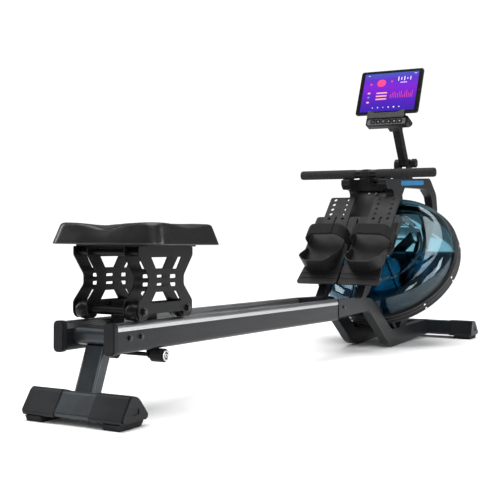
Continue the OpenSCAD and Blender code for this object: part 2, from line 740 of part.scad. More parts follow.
// ---- Covers and handle ----
cover_top_u = 117;
module front_cover() {
    placed("black") leaning() translate([0, 0, leg_rear_n - 3]) linear_extrude(3) difference() {
        outline([[-frame_in, -300, 0], [frame_in, -300, 0], [frame_in, cover_top_u, 0], [-frame_in,
            cover_top_u, 0]]);
        translate([-26, -190]) rounded_rect(12, 60, 5);
    }
}
cover_front = 1634;
module top_cover() {
    placed("black") difference() {
        along_x(-frame_in, frame_in) outline([[cover_front - 6, 556, 1], [cover_front, 603, 6], [1872,
            616, 2],
            [1872, 612, 1], [cover_front + 6, 599, 4], [cover_front - 2, 556, 1]]);
        translate([-strap_half - 5, cover_front - 10, 582]) cube([2 * strap_half + 10, 30, 11]);
    }
}
module handle_rests() {
    placed("black") for (s = [0, 1]) mirror([s, 0, 0]) difference() {
        along_x(frame_in + 3, frame_in + frame_w - 3) polygon([[1550, rest_base(1550)], [1550, 596.2],
            [1576, 596.2], [1588, 606], [1594, 606], [1594, rest_base(1594)]]);
        translate([0, handle_y, handle_z]) bar_x(0, 200, grip_d / 2 + 0.5);
    }
}
function rest_base(y) = 593 + (y - 1543) * 20 / 451;
module handle_bar() {
    placed("dimgray") translate([0, handle_y, handle_z]) {
        bar_x(-handle_length / 2 + 3, handle_length / 2 - 3, 12.5);
        bar_x(-40, 40, 15);
    }
}
module handle_grips() {
    placed("black") translate([0, handle_y, handle_z]) for (s = [0, 1]) mirror([s, 0, 0]) {
        difference() {
            bar_x(40, handle_length / 2 - 3, grip_d / 2);
            bar_x(39, handle_length / 2, 12.5);
        }
        bar_x(handle_length / 2 - 3, handle_length / 2, grip_d / 2 - 1);
    }
}

// ---- Console ----
module console_base() {
    placed("black") {
        along_x(-frame_in, frame_in) outline([[1880, 576, 3], [1880, 605, 3], [1985, 609.4, 3], [1985,
            582, 3]]);
        along_x(-34, ear_in + 10) outline([[1904, 600, 0], [1918, 642, 6], [1958, 642, 6], [1972, 600, 0]]);
        for (x = [[-34, -ear_in], [ear_in, ear_in + 10]]) along_x(x[0], x[1]) difference() {
            outline([[1920, 636, 0], [1918, 674, 16], [1938, 692, 16], [1958, 674, 16], [1956, 636, 0]]);
            translate([hinge_y, hinge_z]) circle(hinge_r);
        }
    }
}
ear_in = 14.4;
hinge_r = 6;
module post_frame() { translate([0, hinge_y, hinge_z]) rotate([post_lean, 0, 0]) children(); }
post_length = 158;
neck_half = 20;
module console_post() {
    placed("black") {
        post_frame() difference() {
            union() {
                translate([-14, 0, 0]) rotate([0, 90, 0]) cylinder(r = 14, h = 28);
                along_y(-16, 16) translate([0, post_length / 2 + 4]) rounded_rect(28, post_length - 8, 5);
            }
            bar_x(-20, 20, hinge_r + run_fit);
        }
        // Neck from the post's top to the back of the console
        along_x(-neck_half, neck_half) outline([[1804.8, 803.7, 0], [1809.6, 815.8, 0], [1850, 828, 10],
            [1876, 820, 8], [1868, 790, 8], [1842, 784, 10]]);
    }
}
module clamp_knob() {
    placed("black") translate([0, hinge_y, hinge_z]) {
        bar_x(-38, 32, hinge_r - run_fit);
        difference() {
            bar_x(32, 50, 17);
            for (i = [0:5]) rotate([60 * i, 0, 0]) translate([0, 20, 0]) bar_x(31, 51, 6);
        }
        bar_x(-38, -35, 9);
    }
}
// Console frame: X across, Y up the tablet's face, Z out of it towards the rower
module console_frame() { translate([0, console_y, console_z]) rotate([90 - console_tilt, 0,
    0]) children(); }
key_w = 17;
key_pitch = 21;
key_v = -8;
key_h = 16;
box_low = -22;
box_high = 15;
ledge_half = 72;
tablet_v = 17;
ledge_front = 48;
box_back = -22;
box_front = 26;
lip_t = 4;
module console_box() {
    placed("black") console_frame() difference() {
        union() {
            // The case, whose lower rear edge is cut back
            intersection() {
                translate([0, (box_low + box_high) / 2, box_back]) linear_extrude(box_front - box_back)
                    rounded_rect(console_w, box_high - box_low, 9);
                rotate([0, 90, 0]) translate([0, 0, -console_w]) linear_extrude(2 * console_w)
                    outline([[-box_front, box_low, 5], [-box_front, box_high, 3], [-box_back, box_high, 3],
                        [-box_back, 0, 8], [0, box_low, 8]]);
            }
            translate([0, key_v, box_front]) linear_extrude(4) rounded_rect(console_w - 16, 23, 6);
            // Ledge under the tablet, its back rest and the lip in front
            translate([-ledge_half, box_high - 3, 0]) cube([2 * ledge_half, tablet_v - box_high + 2.7,
                ledge_front]);
            translate([-ledge_half, box_high - 3, tablet_n - 4.5]) cube([2 * ledge_half, 64, 4]);
            translate([-ledge_half, 0, ledge_front - lip_t]) linear_extrude(lip_t) outline([[0, 0, 3],
                [2 * ledge_half, 0, 3], [2 * ledge_half, 33, 4], [116, 21, 10], [28, 21, 10], [0, 33, 4]]);
        }
        for (i = [0:key_count - 1]) translate([key_x(i), key_v, box_front - 1]) linear_extrude(10)
            rounded_rect(key_w + 1, key_h + 1, 3.5);
    }
}
key_n = 27;
key_t = 4.5;
function key_x(i) = (i - (key_count - 1) / 2) * key_pitch;
module key_button(i) {
    placed("gray") console_frame() translate([key_x(i), key_v,
        key_n]) linear_extrude(key_t) rounded_rect(key_w, key_h, 3);
}
module key_1() { key_button(0); }
module key_2() { key_button(1); }
module key_3() { key_button(2); }
module key_4() { key_button(3); }
module key_5() { key_button(4); }
module key_6() { key_button(5); }
tablet_t = 7.5;
tablet_n = 36;
module tablet() {
    placed("black") console_frame() translate([0, tablet_v + tablet_h / 2, tablet_n])
        linear_extrude(tablet_t) rounded_rect(tablet_w, tablet_h, 9);
}

rails();
running_tracks();
rail_cross_tube();
rear_post();
rear_foot_tube();
end_caps();
foot_pads();
frame_bolts();
base_frames();
arches();
front_foot_tube();
pulley_bracket();
outer_plates();
inner_plates();
wheel_axles();
spacer_tubes();
seat_pan();
seat_pad();
roller_hangers();
lower_rollers();
rear_wheels();
front_wheels();
tank_rear_shell();
tank_front_shell();
tank_ring();
tank_gasket();
ring_screws();
tank_brackets();
tank_water();
impeller();
impeller_shaft();
shaft_bearings();
bearing_mounts();
strap_drum();
drive_strap();
return_bungee();
guide_roller();
bungee_pulley();
pulley_axles();
foot_plates();
left_heel_slide();
right_heel_slide();
foot_straps();
footrest_bars();
front_cover();
top_cover();
handle_rests();
handle_bar();
handle_grips();
console_base();
console_post();
clamp_knob();
console_box();
key_1();
key_2();
key_3();
key_4();
key_5();
key_6();
tablet();
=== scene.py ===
import json
import math

import bmesh
import bpy
from mathutils import Matrix, Vector, noise


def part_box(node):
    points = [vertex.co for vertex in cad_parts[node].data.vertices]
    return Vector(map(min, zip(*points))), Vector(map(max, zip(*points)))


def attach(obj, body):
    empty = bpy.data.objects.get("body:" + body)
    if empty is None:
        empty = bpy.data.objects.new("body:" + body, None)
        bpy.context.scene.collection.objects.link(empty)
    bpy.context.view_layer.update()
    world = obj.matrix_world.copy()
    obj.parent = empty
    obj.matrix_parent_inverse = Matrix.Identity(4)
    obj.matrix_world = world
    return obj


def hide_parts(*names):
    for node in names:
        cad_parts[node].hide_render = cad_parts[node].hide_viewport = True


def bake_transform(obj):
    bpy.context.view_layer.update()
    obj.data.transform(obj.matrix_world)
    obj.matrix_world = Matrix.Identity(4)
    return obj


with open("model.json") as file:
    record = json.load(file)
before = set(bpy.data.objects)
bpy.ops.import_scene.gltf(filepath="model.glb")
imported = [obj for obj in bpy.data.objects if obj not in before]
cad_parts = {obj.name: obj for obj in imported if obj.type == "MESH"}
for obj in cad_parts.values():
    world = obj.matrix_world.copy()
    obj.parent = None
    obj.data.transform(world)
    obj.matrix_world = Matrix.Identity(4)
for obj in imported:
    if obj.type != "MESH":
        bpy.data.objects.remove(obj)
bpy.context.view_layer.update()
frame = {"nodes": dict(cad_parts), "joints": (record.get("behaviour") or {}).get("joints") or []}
NODES = frame["nodes"]
JOINTS = {j["name"]: j for j in frame["joints"]}

MM = 0.001
AXIS_X, AXIS_Y, AXIS_Z = Vector((1, 0, 0)), Vector((0, 1, 0)), Vector((0, 0, 1))


def add_object(name, data):
    """Puts a new object with this data into the scene."""
    obj = bpy.data.objects.new(name, data)
    bpy.context.scene.collection.objects.link(obj)
    return obj


# ---- Camera ----
def make_camera():
    """The camera stands behind the seat on the rower's right and looks forward along the rails."""
    data = bpy.data.cameras.new("camera")
    data.sensor_width = 36
    data.lens = 71.7
    camera = add_object("camera", data)
    camera.location = (1.3824, -2.7187, 0.4311)
    camera.rotation_euler = (math.radians(88.59), 0, math.radians(29.58))
    bpy.context.scene.camera = camera


# ---- Frames of the leaning parts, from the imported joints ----
def unit(values):
    return Vector(values).normalized()


lean_n = unit(JOINTS["impeller_spin"]["axis"])
lean_x = Vector((1, 0, 0))
lean_u = lean_n.cross(lean_x)
tank_centre = Vector(JOINTS["impeller_spin"]["pos_m"])
console_n = -unit(JOINTS["key_1_press"]["axis"])
console_v = unit(JOINTS["tablet_lift"]["axis"])
rail_y = unit(JOINTS["seat_slide"]["axis"])
rail_z = lean_x.cross(rail_y)


def axes_matrix(origin, x, y, z):
    """A matrix whose columns are the given axes, standing at origin."""
    m = Matrix((x, y, z)).transposed().to_4x4()
    m.translation = origin
    return m


def extent(node, direction):
    """Lowest and highest value of a CAD node's vertices along a direction."""
    values = [v.co.dot(direction) for v in NODES[node].data.vertices]
    return min(values), max(values)


def loose_parts(node):
    """The vertices of each separate solid of one CAD node, the solids in order of their lowest x, then y."""
    bm = bmesh.new()
    bm.from_mesh(NODES[node].data)
    bmesh.ops.remove_doubles(bm, verts=bm.verts, dist=1e-6)
    left = set(bm.verts)
    found = []
    while left:
        stack = [left.pop()]
        part = []
        while stack:
            v = stack.pop()
            part.append(v.co.copy())
            for e in v.link_edges:
                w = e.other_vert(v)
                if w in left:
                    left.discard(w)
                    stack.append(w)
        found.append(part)
    bm.free()
    return sorted(found, key=lambda part: (min(p.x for p in part), min(p.y for p in part)))


# ---- Materials ----
NOISE_LOW, NOISE_HIGH = 0.3, 0.7
ALONG_RAILS = (900, 3, 900)


class Shader:
    """A small helper that builds one procedural material on a Principled shader."""

    def __init__(self, name, **values):
        self.material = bpy.data.materials.new(name)
        self.material.use_nodes = True
        self.tree = self.material.node_tree
        self.bsdf = self.tree.nodes["Principled BSDF"]
        for key, value in values.items():
            self.bsdf.inputs[key.replace("_", " ")].default_value = value
        self.place = self.tree.nodes.new("ShaderNodeTexCoord").outputs["Object"]

    def node(self, kind, inputs, **settings):
        """Adds a node; each input is a plain value or another node's output."""
        made = self.tree.nodes.new(kind)
        for key, value in settings.items():
            setattr(made, key, value)
        for key, value in inputs.items():
            if isinstance(value, bpy.types.NodeSocket):
                self.tree.links.new(value, made.inputs[key])
            else:
                made.inputs[key].default_value = value
        return made

    def noise(self, scale, detail=4, roughness=0.5, stretch=None):
        vector = self.place
        if stretch:
            vector = self.node("ShaderNodeMapping", {"Vector": vector, "Scale": stretch}).outputs["Vector"]
        inputs = {"Vector": vector, "Scale": scale, "Detail": detail, "Roughness": roughness}
        return self.node("ShaderNodeTexNoise", inputs).outputs["Fac"]

    def cells(self, scale, output="Distance"):
        return self.node("ShaderNodeTexVoronoi", {"Vector": self.place, "Scale": scale}).outputs[output]

    def wave(self, scale, direction):
        inputs = {"Vector": self.place, "Scale": scale}
        return self.node("ShaderNodeTexWave", inputs, bands_direction=direction).outputs["Fac"]

    def along(self, direction):
        """How far each point lies along a direction."""
        inputs = {0: self.place, 1: tuple(direction)}
        return self.node("ShaderNodeVectorMath", inputs, operation="DOT_PRODUCT").outputs["Value"]

    def ramp(self, source, low, high, low_value=0.0, high_value=1.0):
        """Maps source from low..high onto low_value..high_value."""
        inputs = {"Value": source, "From Min": low, "From Max": high,
                  "To Min": low_value, "To Max": high_value}
        return self.node("ShaderNodeMapRange", inputs).outputs["Result"]

    def levels(self, source, low_value=0.0, high_value=1.0):
        """Spreads a noise, which mostly stays between two levels, over low_value..high_value."""
        return self.ramp(source, NOISE_LOW, NOISE_HIGH, low_value, high_value)

    def mix(self, fac, a, b):
        return self.node("ShaderNodeMix", {0: fac, 6: a, 7: b}, data_type="RGBA").outputs[2]

    def shades(self, fac, base, dark, light):
        """Goes from a darker to a lighter shade of one colour."""
        return self.mix(fac, shade(base, dark), shade(base, light))

    def varied(self, base, spread, scale):
        """Slow variation between two shades of one colour."""
        return self.shades(self.levels(self.noise(scale)), base, 1 - spread, 1 + spread)

    def maths(self, operation, a, b):
        return self.node("ShaderNodeMath", {0: a, 1: b}, operation=operation).outputs[0]

    def edges(self):
        """Near one on worn outer edges and near zero elsewhere."""
        return self.ramp(self.node("ShaderNodeNewGeometry", {}).outputs["Pointiness"], 0.52, 0.62)

    def colour(self, source):
        self.tree.links.new(source, self.bsdf.inputs["Base Color"])

    def rough(self, source, smoothest, roughest, low=NOISE_LOW, high=NOISE_HIGH):
        """Roughness from smoothest to roughest while source goes from low to high."""
        self.tree.links.new(self.ramp(source, low, high, smoothest, roughest), self.bsdf.inputs["Roughness"])

    def bump(self, source, strength, distance, after=None):
        values = {"Height": source, "Strength": strength, "Distance": distance}
        if after:
            values["Normal"] = after
        normal = self.node("ShaderNodeBump", values).outputs["Normal"]
        self.tree.links.new(normal, self.bsdf.inputs["Normal"])
        return normal


def rgb(r, g, b):
    return (r, g, b, 1)


def shade(base, factor):
    """A colour made lighter or darker."""
    return rgb(*[min(1, c * factor) for c in base])


def moulded_plastic(name, base, rough=0.42, grain=1400, depth=0.00006):
    """Injection-moulded plastic with a fine spark-eroded grain and lighter edges."""
    s = Shader(name, Specular_IOR_Level=0.13)
    tone = s.varied(base, 0.12, 9)
    wear = s.maths("MULTIPLY", s.edges(), 0.35)
    s.colour(s.mix(wear, tone, rgb(*[c * 2.2 + 0.01 for c in base])))
    s.rough(s.noise(34, 3), rough - 0.06, rough + 0.07)
    s.bump(s.cells(grain), 0.35, depth)
    return s.material


def satin_paint(name, base, rough):
    """Powder coat with a slight orange peel."""
    s = Shader(name, Specular_IOR_Level=0.17)
    s.colour(s.varied(base, 0.06, 6))
    s.rough(s.noise(9, 2), rough - 0.015, rough + 0.02)
    s.bump(s.noise(300, 1), 0.03, 0.00002)
    return s.material


def metallic_paint(name, base):
    """Paint with fine metal flakes under a thin clear coat."""
    s = Shader(name, Metallic=0.55, Coat_Weight=0.25, Coat_Roughness=0.2)
    flakes = s.node("ShaderNodeSeparateColor", {"Color": s.cells(2600, "Color")}).outputs[0]
    s.colour(s.shades(flakes, base, 0.82, 1.25))
    s.rough(s.noise(40, 3), 0.3, 0.42)
    s.bump(s.noise(420, 2), 0.12, 0.0001)
    return s.material


def brushed_metal(name, base, rough):
    """Metal with long fine lines along the rails."""
    s = Shader(name, Metallic=1.0)
    lines = s.noise(1.0, 3, 0.6, ALONG_RAILS)
    s.colour(s.shades(s.ramp(lines, 0.35, 0.65), base, 0.84, 1.1))
    s.rough(lines, rough - 0.07, rough + 0.1)
    s.bump(lines, 0.15, 0.00005)
    return s.material


def anodised(name, base, rough):
    """Extruded aluminium, dyed dark, with faint drawing lines along the rail."""
    s = Shader(name, Metallic=0.6, Specular_IOR_Level=0.3)
    lines = s.noise(1.0, 4, 0.6, ALONG_RAILS)
    s.colour(s.shades(s.levels(s.noise(5, 2)), base, 0.86, 1.14))
    s.rough(lines, rough - 0.05, rough + 0.08)
    s.bump(lines, 0.1, 0.00005)
    return s.material


def turned_steel(name, base=(0.6, 0.6, 0.62), rough=0.26):
    s = Shader(name, Metallic=1.0)
    s.colour(s.varied(base, 0.08, 60))
    s.rough(s.noise(700, 2), rough - 0.08, rough + 0.1)
    s.bump(s.noise(1800, 1), 0.08, 0.00003)
    return s.material


def soft_rubber(name, base, rough=0.7):
    s = Shader(name, Specular_IOR_Level=0.13)
    s.colour(s.varied(base, 0.18, 14))
    s.rough(s.noise(45, 3), rough - 0.08, rough + 0.08)
    s.bump(s.noise(900, 3), 0.3, 0.0001)
    return s.material


def seat_skin(name):
    """Moulded polyurethane foam: a soft satin skin with a fine leathery grain."""
    s = Shader(name, Specular_IOR_Level=0.42)
    s.colour(s.varied((0.006, 0.006, 0.0066), 0.2, 11))
    s.rough(s.noise(26, 3), 0.26, 0.36)
    grain = s.bump(s.cells(620), 0.22, 0.0001)
    s.bump(s.noise(140, 3), 0.1, 0.0003, grain)
    return s.material


def foam_grip(name):
    """Closed-cell foam with open pores."""
    s = Shader(name, Specular_IOR_Level=0.15, Sheen_Weight=0.03, Sheen_Roughness=0.6)
    pores = s.cells(1500)
    s.colour(s.mix(s.ramp(pores, 0.1, 0.5), rgb(0.005, 0.005, 0.0055), rgb(0.014, 0.014, 0.015)))
    s.rough(s.noise(60, 3), 0.6, 0.78)
    s.bump(pores, 0.4, 0.00015)
    return s.material


def webbing(name, base):
    """Woven nylon band: warp ribs crossed by the weft."""
    s = Shader(name, Specular_IOR_Level=0.15, Sheen_Weight=0.04, Sheen_Roughness=0.4)
    warp = s.wave(420, "X")
    weft = s.wave(330, "Z")
    weave = s.maths("ADD", s.maths("MULTIPLY", warp, weft), s.maths("MULTIPLY", s.wave(150, "Z"), 0.5))
    fuzz = s.noise(1500, 2)
    high = s.maths("ADD", weave, s.maths("MULTIPLY", fuzz, 0.4))
    s.colour(s.shades(s.ramp(high, 0.1, 1.1), base, 0.5, 1.6))
    s.rough(fuzz, 0.7, 0.85)
    s.bump(high, 0.5, 0.0003)
    return s.material


def clear_plastic(name, tint, rough):
    """Clear polycarbonate with a faint haze."""
    s = Shader(name, Transmission_Weight=1.0, IOR=1.36, Specular_IOR_Level=0.6)
    s.colour(s.shades(s.levels(s.noise(4, 2)), tint, 1, 1.04))
    s.rough(s.noise(16, 4), rough, rough + 0.05, 0.35, 0.75)
    s.bump(s.noise(7, 2), 0.02, 0.002)
    return s.material


def blue_water(name):
    """Dyed water: uneven deep blue, with small ripples on its skin."""
    s = Shader(name, Transmission_Weight=0.92, IOR=1.33, Specular_IOR_Level=0.5)
    s.colour(s.mix(s.levels(s.noise(9, 3)), rgb(0.006, 0.06, 0.11), rgb(0.014, 0.14, 0.24)))
    s.rough(s.noise(12, 2), 0.04, 0.12)
    s.bump(s.noise(22, 3), 0.15, 0.004)
    return s.material


def glow(name, base):
    """A lit area of the screen, slightly uneven."""
    s = Shader(name, Emission_Strength=1.0, Roughness=0.15, Base_Color=shade(base, 0.2))
    tone = s.shades(s.levels(s.noise(60, 2), 0.92, 1.0), base, 0.9, 1)
    s.tree.links.new(tone, s.bsdf.inputs["Emission Color"])
    return s.material


MATERIALS = {
    "frame_grey": satin_paint("painted_frame", (0.009, 0.0095, 0.011), 0.32),
    "rail_grey": anodised("rail_anodised", (0.015, 0.0155, 0.017), 0.3),
    "track_silver": brushed_metal("track_brushed", (0.5, 0.51, 0.52), 0.3),
    "foot_metal": metallic_paint("foot_metallic", (0.024, 0.029, 0.034)),
    "black_plastic": moulded_plastic("black_plastic", (0.007, 0.007, 0.0075)),
    "cap_plastic": moulded_plastic("cap_plastic", (0.009, 0.0095, 0.0105), 0.38),
    "plate_black": satin_paint("plate_powder_coat", (0.004, 0.004, 0.0045), 0.34),
    "rubber": soft_rubber("black_rubber", (0.012, 0.012, 0.012)),
    "steel": turned_steel("turned_steel"),
    "chrome": turned_steel("screw_chrome", (0.75, 0.75, 0.77), 0.14),
    "dark_steel": turned_steel("dark_steel", (0.06, 0.06, 0.065), 0.26),
    "wheel": moulded_plastic("wheel_polyurethane", (0.006, 0.006, 0.0065), 0.24, 300),
    "grey_plastic": moulded_plastic("grey_plastic", (0.012, 0.012, 0.013), 0.38),
    "rib": moulded_plastic("ring_rib_plastic", (0.06, 0.06, 0.065), 0.3),
    "key": soft_rubber("key_rubber", (0.022, 0.022, 0.024), 0.5),
    "stripe": satin_paint("blue_stripe", (0.012, 0.13, 0.28), 0.4),
    "seat": seat_skin("seat_foam_skin"),
    "grip": foam_grip("grip_foam"),
    "strap": webbing("strap_webbing", (0.006, 0.006, 0.006)),
    "cord": webbing("cord_braid", (0.012, 0.012, 0.013)),
    "shell": clear_plastic("clear_shell", (0.4, 0.62, 0.7), 0.01),
    "water": blue_water("blue_water"),
    "screen_shell": moulded_plastic("tablet_black", (0.006, 0.006, 0.007), 0.25),
    "buckle": moulded_plastic("buckle_plastic", (0.02, 0.02, 0.02), 0.35),
    "white_mark": glow("screen_white", (0.8, 0.78, 1.0)),
    "pink_mark": glow("screen_pink", (0.85, 0.05, 0.22)),
    "peach_mark": glow("screen_peach", (0.95, 0.4, 0.36)),
    "teal_mark": glow("screen_teal", (0.08, 0.3, 0.5)),
}

NODE_MATERIALS = {
    "frame_grey": ["base_frames", "arches"],
    "rail_grey": ["rails"],
    "track_silver": ["running_tracks"],
    "foot_metal": ["rear_post", "rear_foot_tube", "rail_cross_tube", "front_foot_tube"],
    "cap_plastic": ["end_caps"],
    "black_plastic": [
        "seat_pan", "impeller", "bearing_mounts", "foot_plates", "left_heel_slide", "right_heel_slide",
        "front_cover", "top_cover", "console_base", "console_post", "clamp_knob", "tank_ring",
    ],
    "plate_black": ["outer_plates", "inner_plates", "spacer_tubes", "roller_hangers", "pulley_bracket",
                    "tank_brackets", "footrest_bars", "handle_bar"],
    "rubber": ["foot_pads", "tank_gasket", "handle_rests"],
    "steel": ["impeller_shaft", "shaft_bearings", "pulley_axles"],
    "dark_steel": ["frame_bolts", "wheel_axles"],
    "chrome": ["ring_screws"],
    "wheel": ["rear_wheels", "front_wheels"],
    "grey_plastic": ["lower_rollers", "strap_drum", "guide_roller", "bungee_pulley"],
    "shell": ["tank_rear_shell", "tank_front_shell"],
    "water": ["tank_water"],
    "cord": ["return_bungee"],
    "strap": ["drive_strap", "foot_straps"],
    "seat": ["seat_pad"],
    "grip": ["handle_grips"],
    "key": ["key_%d" % i for i in range(1, 7)],
    "screen_shell": ["tablet"],
    "console": ["console_box"],
}


def paint_nodes():
    for name, nodes in NODE_MATERIALS.items():
        for node in nodes:
            for slot in NODES[node].material_slots:
                slot.material = MATERIALS[name]


# ---- Mesh helpers ----
def make_piece(name, bm, material, body, slot, smooth=True):
    """Turns a bmesh into a painted piece that rides on a body."""
    mesh = bpy.data.meshes.new(name)
    bmesh.ops.recalc_face_normals(bm, faces=bm.faces)
    bm.to_mesh(mesh)
    bm.free()
    obj = add_object(name, mesh)
    for polygon in mesh.polygons:
        polygon.use_smooth = smooth
    mesh.materials.append(MATERIALS[material])
    if body:
        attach(obj, body)
    return obj


def circle(count):
    """The cosine and sine of evenly spaced angles over a full turn."""
    return [(math.cos(math.tau * i / count), math.sin(math.tau * i / count)) for i in range(count)]


def directions(line, closed=False):
    """The direction of a line of points at each point."""
    found = []
    for i in range(len(line)):
        before = line[i - 1] if closed else line[max(i - 1, 0)]
        after = line[(i + 1) % len(line)] if closed else line[min(i + 1, len(line) - 1)]
        found.append((after - before).normalized())
    return found


def sideways(along):
    """The direction at right angles to a direction in the plane."""
    return Vector((-along.y, along.x))


def rim_points(w, l, r, steps, per_side):
    """A rounded rectangle of half sizes w and l: arcs at the corners, even steps along the sides."""
    corners = []
    for cx, cy, start in ((w - r, l - r, 0), (r - w, l - r, 90), (r - w, r - l, 180), (w - r, r - l, 270)):
        angles = [math.radians(start + 90 * i / steps) for i in range(steps + 1)]
        corners.append([(cx + r * math.cos(a), cy + r * math.sin(a)) for a in angles])
    points = []
    for k, arc in enumerate(corners):
        points += arc
        a, b = arc[-1], corners[(k + 1) % 4][0]
        for i in range(1, per_side):
            t = i / per_side
            points.append((a[0] + (b[0] - a[0]) * t, a[1] + (b[1] - a[1]) * t))
    return points


def rounded_points(w, h, r, steps=6):
    """A rounded rectangle of whole sizes w and h about the origin."""
    return rim_points(w / 2, h / 2, r, steps, 1)


def join_rings(bm, a, b):
    """Adds the faces between two closed rings of vertices."""
    for i in range(len(a)):
        j = (i + 1) % len(a)
        bm.faces.new((a[i], a[j], b[j], b[i]))


def slab(bm, points, matrix, low, high, bevel=0.0):
    """Adds a slab whose outline is points, from low to high along the matrix's Z, its top edge eased."""
    def ring(inset, z):
        out = []
        for i, (x, y) in enumerate(points):
            tangent = Vector(points[(i + 1) % len(points)]) - Vector(points[i - 1])
            if tangent.length > 1e-9:
                tangent.normalize()
            out.append(bm.verts.new(matrix @ Vector((x - tangent.y * inset, y + tangent.x * inset, z))))
        return out
    rings = [ring(0, low), ring(0, high - bevel)]
    if bevel:
        rings += [ring(bevel * 0.3, high - bevel * 0.3), ring(bevel, high)]
    for a, b in zip(rings, rings[1:]):
        join_rings(bm, a, b)
    bm.faces.new(list(reversed(rings[0])))
    bm.faces.new(rings[-1])


def tube_rings(bm, rings, closed=False):
    """Joins rings of points into a skin, with caps at open ends."""
    made = [[bm.verts.new(p) for p in ring] for ring in rings]
    for a, b in zip(made, made[1:]):
        join_rings(bm, a, b)
    if closed:
        join_rings(bm, made[-1], made[0])
    else:
        bm.faces.new(list(reversed(made[0])))
        bm.faces.new(made[-1])


def ring_tube(bm, centre_line, radius, up, sides=8, closed=True):
    """A round bead along a line of points."""
    rings = []
    for p, along in zip(centre_line, directions(centre_line, closed)):
        side = along.cross(up).normalized()
        rise = side.cross(along)
        rings.append([p + radius * (c * side + s * rise) for c, s in circle(sides)])
    tube_rings(bm, rings, closed)


def lathe(bm, section, place, segments=160):
    """Turns a closed section of (radius, depth) points about place's Z."""
    rings = [[bm.verts.new(place @ Vector((r * c, r * s, depth))) for r, depth in section]
             for c, s in circle(segments)]
    for a, b in zip(rings, rings[1:] + rings[:1]):
        for k, (radius, _) in enumerate(section):
            m = (k + 1) % len(section)
            if radius >= 1e-6 or section[m][0] >= 1e-6:
                bm.faces.new((a[k], b[k], b[m], a[m]))
    bmesh.ops.remove_doubles(bm, verts=bm.verts, dist=1e-6)


def turned_piece(name, section, place, segments, *looks):
    """A lathed piece; looks are make_piece's material, body and slot; the slot is not used."""
    bm = bmesh.new()
    lathe(bm, section, place, segments)
    return make_piece(name, bm, *looks)


# ---- Seat ----
def seat_height(across, along):
    """Height of the seat's top in mm against its lobes; across and along run from -1 to 1."""
    rear_notch = math.exp(-(across / 0.3) ** 2) * smooth_step(-0.1, -1.0, along)
    front_dip = math.exp(-(across / 0.5) ** 2) * smooth_step(0.6, 1.0, along)
    side_dip = math.exp(-((along - 0.08) / 0.42) ** 2) * smooth_step(0.55, 1.0, abs(across))
    hollow = math.exp(-((abs(across) - 0.45) / 0.26) ** 2 - ((along + 0.05) / 0.5) ** 2)
    return -14 * rear_notch - 3 * front_dip - 10 * side_dip - 12 * hollow


def smooth_step(a, b, x):
    t = min(1, max(0, (x - a) / (b - a)))
    return t * t * (3 - 2 * t)


def make_seat():
    """The moulded seat: a tapered skirt under a top with two hollows and a notch at the back."""
    low_x, high_x = extent("seat_pad", lean_x)
    low_y, high_y = extent("seat_pad", rail_y)
    low_z, high_z = extent("seat_pad", rail_z)
    centre = lean_x * (low_x + high_x) / 2 + rail_y * (low_y + high_y) / 2 + rail_z * low_z
    place = axes_matrix(centre, lean_x, rail_y, rail_z)
    half_w = (high_x - low_x) / 2
    half_l = (high_y - low_y) / 2
    height = high_z - low_z
    corner = 30 * MM
    bm = bmesh.new()
    # Skirt: (height share, inset in mm) from the hem up to where the top begins
    profile = [(0.0, 5), (0.0, 1.2), (0.02, 0.2), (0.06, 0.0), (0.12, 0.6), (0.3, 3.2), (0.5, 6.2), (0.7, 9),
               (0.84, 11), (0.92, 12.6), (0.97, 15), (1.0, 19.5)]
    steps, per_side = 9, 16
    made = []
    for share, inset in profile:
        ring = []
        for x, y in rim_points(half_w - inset * MM, half_l - inset * MM, corner, steps, per_side):
            dip = seat_height(x / half_w, y / half_l) * MM * smooth_step(0.25, 1.0, share)
            ring.append(bm.verts.new(place @ Vector((x, y, share * height + dip))))
        made.append(ring)
    for a, b in zip(made, made[1:]):
        join_rings(bm, a, b)
    bm.faces.new(list(reversed(made[0])))
    # Top: rings that shrink towards the middle
    inner = made[-1]
    top_w, top_l = half_w - profile[-1][1] * MM, half_l - profile[-1][1] * MM
    layers = 16
    for k in range(1, layers):
        share = 1 - k / layers
        ring = []
        for x, y in rim_points(top_w * share, top_l * share, (corner - 12 * MM) * share, steps, per_side):
            z = height + seat_height(x / half_w, y / half_l) * MM
            ring.append(bm.verts.new(place @ Vector((x, y, z))))
        join_rings(bm, inner, ring)
        inner = ring
    top = bm.verts.new(place @ Vector((0, 0, height + seat_height(0, 0) * MM)))
    for i, v in enumerate(inner):
        bm.faces.new((v, inner[(i + 1) % len(inner)], top))
    seat = make_piece("seat_cushion", bm, "seat", None, "seat_foam")
    cushion_cloth(seat)
    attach(seat, "seat_carriage")
    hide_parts("seat_pad")
    # A moulded bead runs around the skirt's hem
    bm = bmesh.new()
    edge = rim_points(half_w - 0.6 * MM, half_l - 0.6 * MM, corner, steps, per_side)
    hem = [place @ Vector((x, y, 2.2 * MM)) for x, y in edge]
    ring_tube(bm, hem, 1.7 * MM, rail_z)
    make_piece("seat_hem_bead", bm, "seat", "seat_carriage", "seat_foam")
